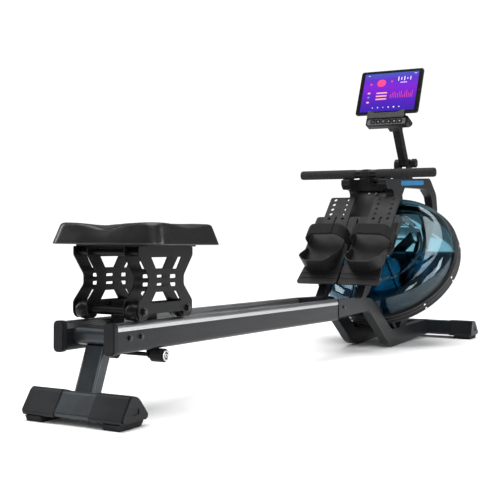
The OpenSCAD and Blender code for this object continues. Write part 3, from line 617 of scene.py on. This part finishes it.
def cushion_cloth(obj):
    """Lets the soft top swell a little under its skin; the hem stays where it is."""
    rest = [v.co.copy() for v in obj.data.vertices]
    low = min(p.dot(rail_z) for p in rest)
    high = max(p.dot(rail_z) for p in rest)
    group = obj.vertex_groups.new(name="pin")
    for i, p in enumerate(rest):
        share = (p.dot(rail_z) - low) / (high - low)
        group.add([i], 1.0 - 0.9 * smooth_step(0.55, 0.95, share), "REPLACE")
    cloth = obj.modifiers.new("cloth", "CLOTH")
    cloth.settings.quality = 5
    cloth.settings.mass = 0.3
    cloth.settings.tension_stiffness = 40
    cloth.settings.compression_stiffness = 40
    cloth.settings.bending_stiffness = 20
    cloth.settings.use_pressure = True
    cloth.settings.uniform_pressure_force = 3
    cloth.settings.vertex_group_mass = "pin"
    cloth.settings.effector_weights.gravity = 0
    scene = bpy.context.scene
    for number in range(1, 15):
        scene.frame_set(number)
    graph = bpy.context.evaluated_depsgraph_get()
    done = obj.evaluated_get(graph)
    moved = [v.co.copy() for v in done.data.vertices]
    obj.modifiers.clear()
    obj.vertex_groups.clear()
    limit = 1.5 * MM
    for v, old, new in zip(obj.data.vertices, rest, moved):
        step = new - old
        if step.length > limit:
            step = step.normalized() * limit
        v.co = old + step
    scene.frame_set(1)


# ---- Water tank ----
HUB_R = 34 * MM
DISH_R = 140 * MM
RIM_R = 160 * MM
SHELL_T = 3 * MM
DRUM_N = 237
REEL_X = 22.6
GROOVE_R = 24.4 * MM
LIP = 0.6 * MM
FLANGE_T = 5 * MM
# Each half: side radius, depth of the rim, the dish and the hub, and the rounding of the side
REAR_HALF = [v * MM for v in (257, 96, 72, 88, 56)]
FRONT_HALF = [v * MM for v in (253, 56, 38, 50, 40)]


def corner_arc(a, p, b, radius, steps):
    """Points of a rounded corner at p between a and b."""
    if radius <= 0:
        return [p]
    a, p, b = Vector(a), Vector(p), Vector(b)
    u, w = (a - p).normalized(), (b - p).normalized()
    half = math.acos(max(-1, min(1, u.dot(w)))) / 2
    centre = p + (u + w).normalized() * radius / math.sin(half)
    first = p + u * radius / math.tan(half) - centre
    last = p + w * radius / math.tan(half) - centre
    turn = math.atan2(first.x * last.y - first.y * last.x, first.dot(last))
    points = []
    for i in range(steps + 1):
        c, s = math.cos(turn * i / steps), math.sin(turn * i / steps)
        points.append(centre + Vector((first.x * c - first.y * s, first.x * s + first.y * c)))
    return points


def rounded_path(corners, steps=8, closed=True):
    """Turns [x, y, radius] corners into points."""
    n = len(corners)
    points = []
    for i, (x, y, r) in enumerate(corners):
        if not closed and i in (0, n - 1):
            points.append(Vector((x, y)))
            continue
        points += corner_arc(corners[i - 1][:2], (x, y), corners[(i + 1) % n][:2], r, steps)
    return points


def inner_wall(half, t):
    """Corners of a half's inner wall, t inside its outer skin, from the side to the dish's middle."""
    side, rim, dish, _, curve = half
    return [(side - t, rim - t, curve - t), (RIM_R + 2 * MM, rim - t, 19 * MM),
            (DISH_R + 2 * MM, dish - t, 17 * MM), (HUB_R + 10 * MM - t, dish - t, 8 * MM)]


def shell_section(half, bore):
    side, rim, dish, hub, curve = half
    flange_r = tank_ring_r() - 9 * MM
    outside = [(bore, hub, 0), (HUB_R, hub, 4 * MM), (HUB_R + 10 * MM, dish, 8 * MM),
               (DISH_R, dish, 14 * MM), (RIM_R, rim, 22 * MM), (side, rim, curve), (side, LIP + FLANGE_T, 0),
               (flange_r, LIP + FLANGE_T, 0), (flange_r, LIP, 0), (side - SHELL_T, LIP, 0)]
    inside = inner_wall(half, SHELL_T) + [(HUB_R - SHELL_T, hub - SHELL_T, 2 * MM), (bore, hub - SHELL_T, 0)]
    return rounded_path(outside + inside, 10)


def tank_ring_r():
    low, high = extent("tank_ring", lean_x)
    return (high - low) / 2


def tank_place(flip=False):
    ring_low, ring_high = extent("tank_ring", lean_n)
    middle = tank_centre + lean_n * ((ring_low + ring_high) / 2 - tank_centre.dot(lean_n))
    if flip:
        return axes_matrix(middle, lean_x, -lean_u, -lean_n)
    return axes_matrix(middle, lean_x, lean_u, lean_n)


def make_tank():
    halves = (("rear_shell", REAR_HALF, 24.5 * MM, False), ("front_shell", FRONT_HALF, 0.0, True))
    for name, half, bore, flip in halves:
        shell = turned_piece(name + "_clear", shell_section(half, bore), tank_place(flip), 160,
                             "shell", "frame", "clear_shell")
        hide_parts("tank_" + name)
    make_water()
    make_ring_trim()


def make_water():
    """Still water: the tank's inside, cut level."""
    gap = 0.4 * MM
    rear, front = [inner_wall(half, SHELL_T + gap) for half in (REAR_HALF, FRONT_HALF)]
    corners = [(HUB_R - 6 * MM, -front[3][1], 0)]
    corners += [(r, -n, c) for r, n, c in reversed(front[:3])]
    corners += rear[:3]
    corners += [(HUB_R - 6 * MM, rear[3][1], 0)]
    bm = bmesh.new()
    lathe(bm, rounded_path(corners, 10), tank_place())
    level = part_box("tank_water")[1].z
    parts = bm.verts[:] + bm.edges[:] + bm.faces[:]
    cut = bmesh.ops.bisect_plane(bm, geom=parts, plane_co=(0, 0, level), plane_no=AXIS_Z, clear_outer=True)
    rim = [e for e in cut["geom_cut"] if isinstance(e, bmesh.types.BMEdge)]
    bmesh.ops.triangle_fill(bm, use_beauty=True, edges=rim)
    water = make_piece("tank_water_still", bm, "water", "frame", "water_blue")
    for polygon in water.data.polygons:
        if abs(polygon.normal.z) > 0.999:
            polygon.use_smooth = False
    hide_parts("tank_water")


def make_ring_trim():
    """Three fine ribs along the clamping ring."""
    place = tank_place()
    radius = tank_ring_r() - 0.6 * MM
    low, high = extent("tank_ring", lean_n)
    half = (high - low) / 2
    rib = half - 3 * MM
    for name, n in (("ring_rib_rear", rib), ("ring_rib_front", -rib), ("ring_rib_middle", 0)):
        bm = bmesh.new()
        line = [place @ Vector((radius * c, radius * s, n)) for c, s in circle(180)]
        ring_tube(bm, line, 1.2 * MM, lean_n)
        make_piece(name, bm, "rib", "frame", "black_plastic")


# ---- Foot straps ----
STRAP_T = 2.4 * MM


def band_path(low_x, high_x, base, rise, radius, sag):
    """Centre line of a strap over a foot in (x, n), from the inner edge of the plate to the outer edge."""
    wide = high_x - low_x
    corners = [(low_x, base, 0), (low_x + 1 * MM, base + rise * 0.55, radius * 0.5),
               (low_x + wide * 0.16, base + rise, radius * 0.8),
               (low_x + wide * 0.86, base + rise - sag, radius * 0.8),
               (high_x - 1 * MM, base + rise * 0.5, radius * 0.5), (high_x, base, 0)]
    return rounded_path(corners, 8, closed=False)


def smooth_line(points, count):
    """The same line at even steps."""
    lengths = [0]
    for a, b in zip(points, points[1:]):
        lengths.append(lengths[-1] + (b - a).length)
    out = []
    k = 0
    for i in range(count):
        want = lengths[-1] * i / (count - 1)
        while k < len(points) - 2 and lengths[k + 1] < want:
            k += 1
        span = max(1e-9, lengths[k + 1] - lengths[k])
        out.append(points[k].lerp(points[k + 1], min(1, max(0, (want - lengths[k]) / span))))
    return out


def strap_surface(line, place, u_low, u_high, thickness, cross=9, bow=0.0):
    """A woven band along a line in (x, n), as wide as u_low..u_high, with raised selvedges."""
    bm = bmesh.new()
    grid_out, grid_in = [], []
    for p, along in zip(line, directions(line)):
        normal = sideways(along)
        wave = 0.7 * MM * noise.noise(Vector((p.x * 30, p.y * 30, u_low * 9)))
        row_out, row_in = [], []
        for k in range(cross):
            share = k / (cross - 1)
            u = u_low + (u_high - u_low) * share
            edge = 0.35 * MM if k in (1, cross - 2) else 0
            if k in (0, cross - 1):
                edge = -0.6 * MM
            arch = bow * (1 - (2 * share - 1) ** 2) + wave
            up = normal * (thickness / 2 + arch + edge)
            down = normal * (-thickness / 2 + arch - edge * 0.4)
            row_out.append(bm.verts.new(place @ Vector((p.x + up.x, u, p.y + up.y))))
            row_in.append(bm.verts.new(place @ Vector((p.x + down.x, u, p.y + down.y))))
        grid_out.append(row_out)
        grid_in.append(row_in)
    for grid in (grid_out, grid_in):
        for a, b in zip(grid, grid[1:]):
            for k in range(cross - 1):
                bm.faces.new((a[k], a[k + 1], b[k + 1], b[k]))
    for k in (0, cross - 1):
        for i in range(len(line) - 1):
            bm.faces.new((grid_out[i][k], grid_out[i + 1][k], grid_in[i + 1][k], grid_in[i][k]))
    for i in (0, len(line) - 1):
        for k in range(cross - 1):
            bm.faces.new((grid_out[i][k], grid_out[i][k + 1], grid_in[i][k + 1], grid_in[i][k]))
    return bm


def stitches(bm, line, place, u, lift, pitch=4.2 * MM, length=2.6 * MM, radius=0.35 * MM):
    """A row of short threads along a line in (x, n), at one u."""
    total = sum((b - a).length for a, b in zip(line, line[1:]))
    count = int(total / pitch)
    even = smooth_line(line, count * 2 + 1)
    for i in range(1, len(even) - 2, 2):
        a = even[i]
        along = (even[i + 1] - even[i - 1]).normalized()
        normal = sideways(along)
        middle = a + normal * lift
        rings = []
        for share, size in ((-0.5, 0.3), (-0.3, 1.0), (0.3, 1.0), (0.5, 0.3)):
            centre = middle + along * length * share
            rings.append([place @ Vector((centre.x + normal.x * radius * size * s, u + radius * size * c,
                                          centre.y + normal.y * radius * size * s)) for c, s in circle(5)])
        tube_rings(bm, rings)


def foot_band_boxes():
    """For each strap of the CAD node: its x, u and n ranges."""
    found = []
    for part in loose_parts("foot_straps"):
        xs = [p.x for p in part]
        us = [p.dot(lean_u) for p in part]
        ns = [p.dot(lean_n) for p in part]
        found.append((min(xs), max(xs), min(us), max(us), min(ns), max(ns)))
    return found


def make_foot_straps():
    first = None
    for x0, x1, u0, u1, n0, n1 in foot_band_boxes():
        side = "left" if x1 < 0 else "right"
        sign = -1 if x1 < 0 else 1
        inner, outer = sorted((abs(x0), abs(x1)))
        place = axes_matrix(Vector((0, 0, 0)), lean_x * sign, lean_u, lean_n)
        rise = n1 - n0 - STRAP_T
        path = band_path(inner + STRAP_T, outer - STRAP_T, n0 + 0.3 * MM, rise, 34 * MM, 4 * MM)
        line = smooth_line(path, 56)
        bm = strap_surface(line, place, u0, u1, STRAP_T, 13, 0.6 * MM)
        lower = make_piece(side + "_foot_strap", bm, "strap", "frame", "strap_web")
        if first is None:
            first = lower
        # The overlap that closes on the strap, over its outer half
        over = line[20:50]
        top = []
        for i, (p, along) in enumerate(zip(over, directions(over))):
            lift = STRAP_T * 1.05 + (1.6 * MM if i < 2 else 0)
            top.append(p + sideways(along) * lift)
        bm = strap_surface(top, place, u0 + 2 * MM, u1 - 2 * MM, STRAP_T * 0.9, 13, 0.6 * MM)
        make_piece(side + "_strap_overlap", bm, "strap", "frame", "strap_web")
        # Thread: along both edges of the strap and of the overlap
        bm = bmesh.new()
        for u in (u0 + 4 * MM, u1 - 4 * MM):
            stitches(bm, line[2:20], place, u, STRAP_T / 2 + 0.9 * MM)
            stitches(bm, top[3:-1], place, u, STRAP_T / 2 + 0.8 * MM)
        make_piece(side + "_strap_thread", bm, "thread", "frame", "strap_web")
        make_strap_loop(side, place, outer, u0, u1, n0)
    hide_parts("foot_straps")


def make_strap_loop(side, place, outer, u0, u1, n0):
    """A plastic loop at the plate's outer edge that the strap passes, and the strap's tail on the plate."""
    bm = bmesh.new()
    matrix = place @ Matrix.Translation((outer - 9 * MM, (u0 + u1) / 2, n0))
    outline = rim_points(5.5 * MM, (u1 - u0) / 2 + 4 * MM, 2.5 * MM, 4, 6)
    line = [matrix @ Vector((x, y, 1.6 * MM)) for x, y in outline]
    ring_tube(bm, line, 1.6 * MM, lean_n)
    make_piece(side + "_strap_loop", bm, "buckle", "frame", "black_plastic")
    tail = [Vector((outer - 30 * MM + 6 * MM * i, n0 + 2.0 * MM + 0.5 * MM * math.sin(i))) for i in range(5)]
    bm = strap_surface(smooth_line(tail, 12), place, u1 + 4 * MM, u1 + 52 * MM, STRAP_T, 9)
    make_piece(side + "_strap_tail", bm, "strap", "frame", "strap_web")


# ---- Handle ----
def make_grips():
    """Two foam sleeves with turned-over ends and fine grooves, and a moulded cap at each end."""
    low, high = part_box("handle_grips")
    centre = (low + high) / 2
    radius = (high.z - low.z) / 2
    half = (high.x - low.x) / 2
    start = 40 * MM
    first = None
    places = {"left": axes_matrix(centre, AXIS_Z, AXIS_Y, -AXIS_X),
              "right": axes_matrix(centre, AXIS_Y, AXIS_Z, AXIS_X)}
    for side, place in places.items():
        section = [(12.6 * MM, start), (radius - 1.6 * MM, start), (radius - 0.4 * MM, start + 1.2 * MM),
                   (radius, start + 3 * MM)]
        groove = start + 12 * MM
        while groove < half - 18 * MM:
            section += [(radius, groove), (radius - 0.35 * MM, groove + 0.5 * MM),
                        (radius - 0.35 * MM, groove + 0.9 * MM), (radius, groove + 1.4 * MM)]
            groove += 9 * MM
        section += [(radius, half - 6 * MM), (radius - 0.5 * MM, half - 4.2 * MM),
                    (radius - 2 * MM, half - 3.4 * MM), (12.6 * MM, half - 3.4 * MM)]
        grip = turned_piece(side + "_grip", section, place, 64, "grip", "handle", "grip_foam")
        if first is None:
            first = grip
        cap = [(0, half - 3.2 * MM), (radius - 2.2 * MM, half - 3.2 * MM),
               (radius - 1.2 * MM, half - 2.4 * MM), (radius - 1.4 * MM, half - 1 * MM),
               (radius - 3.2 * MM, half - 0.2 * MM), (radius - 6 * MM, half),
               (4 * MM, half - 0.2 * MM), (0, half - 0.2 * MM)]
        turned_piece(side + "_grip_cap", cap, place, 48, "black_plastic", "handle", "grip_foam")
    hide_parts("handle_grips")


def make_handle_strap():
    """The drive strap: off the drum with a quarter turn, over the guide roller and round the bar's middle."""
    roller = Vector(JOINTS["guide_roller_spin"]["pos_m"])
    drum = Vector(JOINTS["drum_spin"]["pos_m"])
    handle = sum(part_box("handle_bar"), Vector()) / 2
    half_w, t = 7.5 * MM, 1.6 * MM
    round_roller = 16.2 * MM
    drum_x, drum_u = 38.3 * MM, 11.4 * MM
    lean = math.atan2(lean_n.z, -lean_n.y)

    outline = ((-1, -0.5), (-0.92, -1), (0.92, -1), (1, -0.5), (1, 0.5), (0.92, 1), (-0.92, 1), (-1, 0.5))

    def band(centre, width, thick):
        return [centre + width * a * half_w + thick * b * t / 2 for a, b in outline]

    rows = []
    bottom = drum - lean_n * 4 * MM + lean_x * drum_x + lean_u * drum_u
    top = roller - lean_n * round_roller
    for i in range(16):
        k = i / 16
        turn = math.radians(90) * (1 - smooth_step(0, 1, k))
        width = lean_x * math.cos(turn) + lean_n * math.sin(turn)
        thick = lean_x * math.sin(turn) - lean_n * math.cos(turn)
        centre = bottom.lerp(top, k)
        centre += lean_n * ((top - bottom).dot(lean_n) * (k * k - k))
        rows.append(band(centre, width, thick))
    handle_point = handle + Vector((0, 16.2 * MM, -4 * MM))
    pull = handle_point - roller
    end_angle = math.atan2(pull.z, pull.y) - math.acos(round_roller / pull.length)
    for i in range(15):
        a = -lean + (end_angle + lean) * i / 14
        out = Vector((0, math.cos(a), math.sin(a)))
        rows.append(band(roller + out * round_roller, lean_x, out))
    bm = bmesh.new()
    tube_rings(bm, rows)
    lower = make_piece("strap_on_roller", bm, "strap", "frame", "strap_web")
    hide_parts("drive_strap")
    out = Vector((0, math.cos(end_angle), math.sin(end_angle)))
    last = roller + out * round_roller
    bm = bmesh.new()
    tube_rings(bm, [band(last.lerp(handle_point, i / 40), lean_x, out) for i in range(41)])
    upper = make_piece("strap_to_handle", bm, "strap", None, "strap_web")
    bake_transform(upper)
    bm = bmesh.new()
    loop_r = 15.2 * MM
    ends = [(-half_w, loop_r), (-half_w, loop_r + t), (half_w, loop_r + t), (half_w, loop_r)]
    loop = [[handle + Vector((x, r * c, r * s)) for x, r in ends] for c, s in circle(40)]
    tube_rings(bm, loop, True)
    make_piece("strap_round_bar", bm, "strap", "handle", "strap_web")


def make_bungee():
    """The return cord: from its reel under the lower pulley and back between the rails."""
    base = tank_centre - lean_n * 8 * MM
    pulley = Vector(JOINTS["bungee_pulley_spin"]["pos_m"])
    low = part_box("return_bungee")[0]

    def leaning(x, u, n):
        return base + lean_x * x * MM + lean_u * u * MM + lean_n * n * MM

    knots = [leaning(REEL_X, 0, DRUM_N + 23.5), leaning(REEL_X, -50, DRUM_N + 23.5),
             leaning(12, -180, DRUM_N - 2)]
    for a in (-20, -43, -66, -89):
        knots.append(pulley + Vector((0, math.cos(math.radians(a)), math.sin(math.radians(a)))) * GROOVE_R)
    knots += [pulley + Vector((0, -60, -24)) * MM, Vector((0, -118.4, 136)) * MM,
              Vector((0, -518.4, 147)) * MM, Vector((0, low.y + 1 * MM, 158 * MM))]
    line = smooth_curve(knots, 10)
    bm = bmesh.new()
    ring_tube(bm, line, 3.4 * MM, lean_x, 12, False)
    cord = make_piece("return_cord", bm, "cord", "frame", "bungee_cord")
    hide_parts("return_bungee")


def smooth_curve(knots, steps):
    """A Catmull-Rom curve through the knots."""
    ends = [knots[0] * 2 - knots[1]] + knots + [knots[-1] * 2 - knots[-2]]
    points = []
    for a, b, c, d in zip(ends, ends[1:], ends[2:], ends[3:]):
        for i in range(steps):
            t = i / steps
            points.append((b * 2 + (c - a) * t + (a * 2 - b * 5 + c * 4 - d) * t * t
                           + (b * 3 - a - c * 3 + d) * t * t * t) / 2)
    points.append(knots[-1].copy())
    return points


def make_bar_centre():
    """A plain collar on the middle of the bar, either side of the strap."""
    handle = sum(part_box("handle_bar"), Vector()) / 2
    place = axes_matrix(handle, AXIS_Y, AXIS_Z, AXIS_X)
    for sign, name in ((-1, "bar_collar_left"), (1, "bar_collar_right")):
        corners = ((14, 10), (15.6, 10), (16.2, 11), (16.2, 15), (15.6, 16), (14, 16))
        section = [(r * MM, sign * n * MM) for r, n in corners]
        turned_piece(name, section, place, 48, "black_plastic", "handle", "plate_black")


# ---- Console ----


def screen_material():
    """A blue to violet to indigo screen, brighter at the top."""
    s = Shader("screen_gradient", Roughness=0.3, Specular_IOR_Level=0.05, Emission_Strength=0.85,
               Base_Color=rgb(0.01, 0.01, 0.02))
    up = s.along(console_v)
    low, high = extent("tablet", console_v)
    share = s.ramp(up, low, high)
    ramp = s.node("ShaderNodeValToRGB", {"Fac": share})
    stops = ramp.color_ramp.elements
    stops[0].position, stops[0].color = 0.06, rgb(0.04, 0.0, 0.5)
    stops[1].position, stops[1].color = 0.95, rgb(0.04, 0.12, 0.6)
    between = ((0.3, rgb(0.09, 0.0, 0.6)), (0.6, rgb(0.26, 0.0, 0.8)), (0.8, rgb(0.14, 0.02, 0.7)))
    for position, colour in between:
        made = stops.new(position)
        made.color = colour
    s.tree.links.new(ramp.outputs["Color"], s.bsdf.inputs["Emission Color"])
    return s.material


def console_plastic():
    """Black console plastic whose panel and lip, its foremost faces, are grey."""
    s = Shader("console_two_tone", Specular_IOR_Level=0.24)
    front = s.along(console_n)
    lip = extent("console_box", console_n)[1]
    panel = extent("key_1", console_n)[1] - 1.5 * MM
    is_lip = s.ramp(front, lip - 4.4 * MM, lip - 4.2 * MM)
    above = s.ramp(front, panel - 0.5 * MM, panel - 0.3 * MM)
    below = s.ramp(front, panel + 0.3 * MM, panel + 0.5 * MM, 1.0, 0.0)
    is_panel = s.maths("MULTIPLY", above, below)
    speck = s.levels(s.noise(160, 2))
    black = s.mix(speck, rgb(0.006, 0.006, 0.0065), rgb(0.010, 0.010, 0.0105))
    grey = s.mix(speck, rgb(0.11, 0.11, 0.115), rgb(0.14, 0.14, 0.145))
    dark_grey = s.mix(speck, rgb(0.03, 0.03, 0.032), rgb(0.04, 0.04, 0.042))
    s.colour(s.mix(is_lip, s.mix(is_panel, black, grey), dark_grey))
    s.rough(s.noise(34, 3), 0.36, 0.48)
    s.bump(s.cells(1400), 0.3, 0.00006)
    return s.material


def tablet_frame():
    """A matrix on the tablet's front face: X across, Y up the face, Z out of it, from its bottom middle."""
    low_v, high_v = extent("tablet", console_v)
    front = extent("tablet", console_n)[1]
    origin = console_v * low_v + console_n * front
    return axes_matrix(origin, lean_x, console_v, console_n), high_v - low_v


def make_screen():
    place, height = tablet_frame()
    low_x, high_x = extent("tablet", lean_x)
    width = high_x - low_x
    glass_w, glass_h = width - 5 * MM, height - 5 * MM
    middle = place @ Matrix.Translation((0, height / 2, 0))
    bm = bmesh.new()
    slab(bm, rounded_points(glass_w, glass_h, 7 * MM), middle, -0.2 * MM, 0.5 * MM, 0.3 * MM)
    make_piece("tablet_front_glass", bm, "bezel", "tablet", "tablet_glass", False)
    lit_w, lit_h = width - 32 * MM, height - 22 * MM
    bm = bmesh.new()
    slab(bm, rounded_points(lit_w, lit_h, 1.5 * MM, 3), middle, 0.45 * MM, 0.65 * MM)
    make_piece("screen_area", bm, "screen", "tablet", "tablet_glass", False)
    layout = middle @ Matrix.Translation((0, 0, 0.65 * MM))
    make_marks(layout, lit_w, lit_h)
    make_tablet_trim(middle, width)


def mark(bm, layout, x, y, w, h, r):
    slab(bm, rounded_points(w, h, r, 4), layout @ Matrix.Translation((x, y, 0)), 0, 0.15 * MM)


def make_marks(layout, w, h):
    """Generic shapes on the screen: badges, bars, two bar graphs and small icons."""
    bm = bmesh.new()
    badge = [(30 * MM, -0.17, 0.24), (8 * MM, -0.36, 0.22), (7 * MM, 0.02, 0.27)]
    for size, x, y in badge:
        mark(bm, layout, x * w, y * h, size * 1.15, size, size * 0.49)
    for i in range(13):
        tall = (12 + 14 * abs(math.sin(i * 0.9)) + 4 * math.cos(i * 2.1) ** 2) * MM
        mark(bm, layout, (0.03 + 0.033 * i) * w, -0.17 * h + tall / 2, 1.7 * MM, tall, 0.6 * MM)
    make_piece("screen_pink_marks", bm, "pink_mark", "tablet", "tablet_glass", False)
    bm = bmesh.new()
    for i in range(3):
        mark(bm, layout, -0.14 * w, (-0.02 - 0.08 * i) * h, 0.2 * w, 5.4 * MM, 1.5 * MM)
    mark(bm, layout, -0.38 * w, -0.01 * h, 11 * MM, 7 * MM, 3.4 * MM)
    mark(bm, layout, -0.38 * w, -0.25 * h, 11 * MM, 7 * MM, 3.4 * MM)
    make_piece("screen_peach_marks", bm, "peach_mark", "tablet", "tablet_glass", False)
    bm = bmesh.new()
    mark(bm, layout, -0.38 * w, -0.12 * h, 8 * MM, 8 * MM, 3.9 * MM)
    make_piece("screen_teal_mark", bm, "teal_mark", "tablet", "tablet_glass", False)
    bm = bmesh.new()
    for i, tall in enumerate((18, 12, 18, 8, 15)):
        mark(bm, layout, (0.14 + 0.055 * i) * w, 0.33 * h, 3.2 * MM, tall * MM, 1.5 * MM)
    mark(bm, layout, 0.24 * w, 0.23 * h, 26 * MM, 2.4 * MM, 1.1 * MM)
    mark(bm, layout, -0.42 * w, 0.45 * h, 7 * MM, 2 * MM, 0.9 * MM)
    mark(bm, layout, 0.44 * w, 0.45 * h, 10 * MM, 2 * MM, 0.9 * MM)
    for i in range(6):
        size = (4.5 if i % 2 else 3.6) * MM + (2.6 * MM if i == 4 else 0)
        mark(bm, layout, (-0.27 + 0.098 * i) * w, -0.4 * h, size, size, size * (0.48 if i % 3 else 0.2))
    make_piece("screen_white_marks", bm, "white_mark", "tablet", "tablet_glass", False)


def make_tablet_trim(middle, width):
    """A round button at one end of the tablet's face and a small lens at the other."""
    bm = bmesh.new()
    button = middle @ Matrix.Translation((width / 2 - 8 * MM, 0, 0.5 * MM))
    slab(bm, rounded_points(6 * MM, 6 * MM, 2.95 * MM), button, 0, 0.2 * MM, 0.08 * MM)
    eye = middle @ Matrix.Translation((8 * MM - width / 2, 0, 0.5 * MM))
    slab(bm, rounded_points(3 * MM, 3 * MM, 1.45 * MM), eye, 0, 0.15 * MM, 0.05 * MM)
    make_piece("tablet_button_and_lens", bm, "grey_plastic", "tablet", "tablet_glass")


# ---- Frame and roller trim ----
STRIPE_REACH = 262 * MM
STRIPE_DROP = 24 * MM
STRIPE_LONG = 235 * MM
STRIPE_TALL = 17 * MM
STRIPE_SLOPE = 0.044


def make_roller_trim():
    """A steel bearing ring and its screw's head on each lower roller's right end."""
    for i, part in enumerate(loose_parts("lower_rollers")):
        low = Vector([min(p[k] for p in part) for k in range(3)])
        high = Vector([max(p[k] for p in part) for k in range(3)])
        centre = (low + high) / 2
        radius = (high.z - low.z) / 2
        end = high.x - centre.x
        place = axes_matrix(centre, AXIS_Y, AXIS_Z, AXIS_X)
        bm = bmesh.new()
        section = [(radius * 0.5, end - 1.5 * MM), (radius * 0.82, end - 1.5 * MM),
                   (radius * 0.8, end + 0.4 * MM), (radius * 0.52, end + 0.4 * MM)]
        lathe(bm, section, place, 64)
        screw = [(0, end - 1.5 * MM), (radius * 0.34, end - 1.5 * MM), (radius * 0.32, end + 0.8 * MM),
                 (radius * 0.16, end + 0.8 * MM), (radius * 0.16, end - 0.4 * MM), (0, end - 0.4 * MM)]
        lathe(bm, screw, place, 32)
        make_piece("roller_bearing_%d" % (i + 1), bm, "steel", "lower_rollers", "steel")


def make_arch_stripe():
    """A plain blue stripe on the outer side of each arch's top bar."""
    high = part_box("arches")[1]
    upper = [v.co for v in NODES["arches"].data.vertices if v.co.z > high.z - 22 * MM]
    corner = min(upper, key=lambda c: c.y)
    along = Vector((0, 1, STRIPE_SLOPE)).normalized()
    for name, side in (("left_stripe", -1), ("right_stripe", 1)):
        centre = Vector((side * high.x, corner.y + STRIPE_REACH, high.z - STRIPE_DROP))
        place = axes_matrix(centre, side * along, AXIS_X.cross(along), side * AXIS_X)
        bm = bmesh.new()
        slab(bm, rounded_points(STRIPE_LONG, STRIPE_TALL, 3 * MM), place, -0.3 * MM, 0.3 * MM, 0.1 * MM)
        make_piece(name, bm, "stripe", "frame", "frame_grey", False)


# Bars of each key's sign in mm: width, height, corner radius, offset across and top; key 4 has a triangle
KEY_SIGNS = [
    [(7, 1.6, 0.7, 0, 0.25)],
    [(7, 1.6, 0.7, 0, 0.25), (1.6, 7, 0.7, 0, 0.27)],
    [(1.8, 7, 0.6, -2, 0.25), (1.8, 7, 0.6, 2, 0.25)],
    [],
    [(6, 6, 0.8, 0, 0.25)],
    [(6.4, 6.4, 3.1, 0, 0.25)],
]
TRIANGLE = [(3.6 * MM, 0), (-2.6 * MM, 3.6 * MM), (-2.6 * MM, -3.6 * MM)]


def make_key_icons():
    """A generic raised sign on each key: bar, plus, two bars, triangle, square and dot."""
    for i, bars in enumerate(KEY_SIGNS, 1):
        key = "key_%d" % i
        centre = sum(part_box(key), Vector()) / 2
        front = extent(key, console_n)[1]
        origin = centre + console_n * (front - centre.dot(console_n))
        place = axes_matrix(origin, lean_x, console_v, console_n)
        bm = bmesh.new()
        for w, h, r, x, top in bars:
            bar = rounded_points(w * MM, h * MM, r * MM)
            slab(bm, bar, place @ Matrix.Translation((x * MM, 0, 0)), 0, top * MM)
        if not bars:
            slab(bm, TRIANGLE, place, 0, 0.25 * MM)
        make_piece(key + "_sign", bm, "white_print", key, "key_grey", False)


# ---- Floor and light ----
def make_floor():
    bm = bmesh.new()
    bmesh.ops.create_grid(bm, x_segments=6, y_segments=6, size=30)
    mesh = bpy.data.meshes.new("floor")
    bm.to_mesh(mesh)
    bm.free()
    floor = add_object("floor", mesh)
    s = Shader("studio_floor", Roughness=0.65, Specular_IOR_Level=0.2)
    s.colour(s.mix(s.levels(s.noise(0.7, 2)), rgb(0.95, 0.95, 0.95), rgb(0.975, 0.975, 0.975)))
    floor.data.materials.append(s.material)


def area_light(name, place, target, width, height, power):
    data = bpy.data.lights.new(name, "AREA")
    data.shape = "RECTANGLE"
    data.size, data.size_y, data.energy = width, height, power
    light = add_object(name, data)
    light.location = place
    light.rotation_euler = (Vector(target) - Vector(place)).to_track_quat("-Z", "Y").to_euler()


def make_lights():
    area_light("top_softbox", (0.2, 0.4, 3.4), (0, 0, 0.2), 2.4, 2.4, 30)
    area_light("right_softbox", (3.4, 0.4, 1.5), (0, 0.6, 0.35), 0.8, 1.5, 40)
    area_light("left_softbox", (-3.0, -1.6, 1.6), (0, -0.5, 0.4), 0.8, 2.0, 40)
    area_light("rear_softbox", (2.4, -3.6, 1.6), (0, -0.3, 0.3), 0.9, 1.6, 35)
    for name, y in (("near_window", -1.2), ("far_window", -0.15)):
        area_light(name, (3.2, y, 1.0), (0, 0.6, 0.35), 0.9, 1.3, 22)
    sun = bpy.data.lights.new("even_light", "SUN")
    sun.energy, sun.angle = 3.3, math.radians(60)
    lamp = add_object("even_light", sun)
    lamp.rotation_euler = (math.radians(8), math.radians(-6), 0)
    world = bpy.data.worlds.new("studio")
    bpy.context.scene.world = world
    world.use_nodes = True
    tree = world.node_tree
    back = tree.nodes["Background"]
    back.inputs["Color"].default_value = rgb(1, 1, 1)
    seen = tree.nodes.new("ShaderNodeLightPath").outputs["Is Camera Ray"]
    strength = tree.nodes.new("ShaderNodeMapRange")
    strength.inputs["To Min"].default_value = 0.2
    strength.inputs["To Max"].default_value = 1.05
    tree.links.new(seen, strength.inputs["Value"])
    tree.links.new(strength.outputs["Result"], back.inputs["Strength"])
    bpy.context.scene.view_settings.view_transform = "Standard"


make_camera()
make_lights()
make_floor()
MATERIALS["console"] = console_plastic()
MATERIALS["screen"] = screen_material()
MATERIALS["bezel"] = moulded_plastic("tablet_bezel_glass", (0.006, 0.006, 0.007), 0.1, 60, 0.00001)
MATERIALS["thread"] = webbing("strap_thread", (0.05, 0.05, 0.052))
MATERIALS["white_print"] = moulded_plastic("key_print", (0.3, 0.3, 0.31), 0.4)
paint_nodes()
make_seat()
make_tank()
make_foot_straps()
make_grips()
make_handle_strap()
make_bungee()
make_bar_centre()
make_screen()
make_key_icons()
make_roller_trim()
make_arch_stripe()
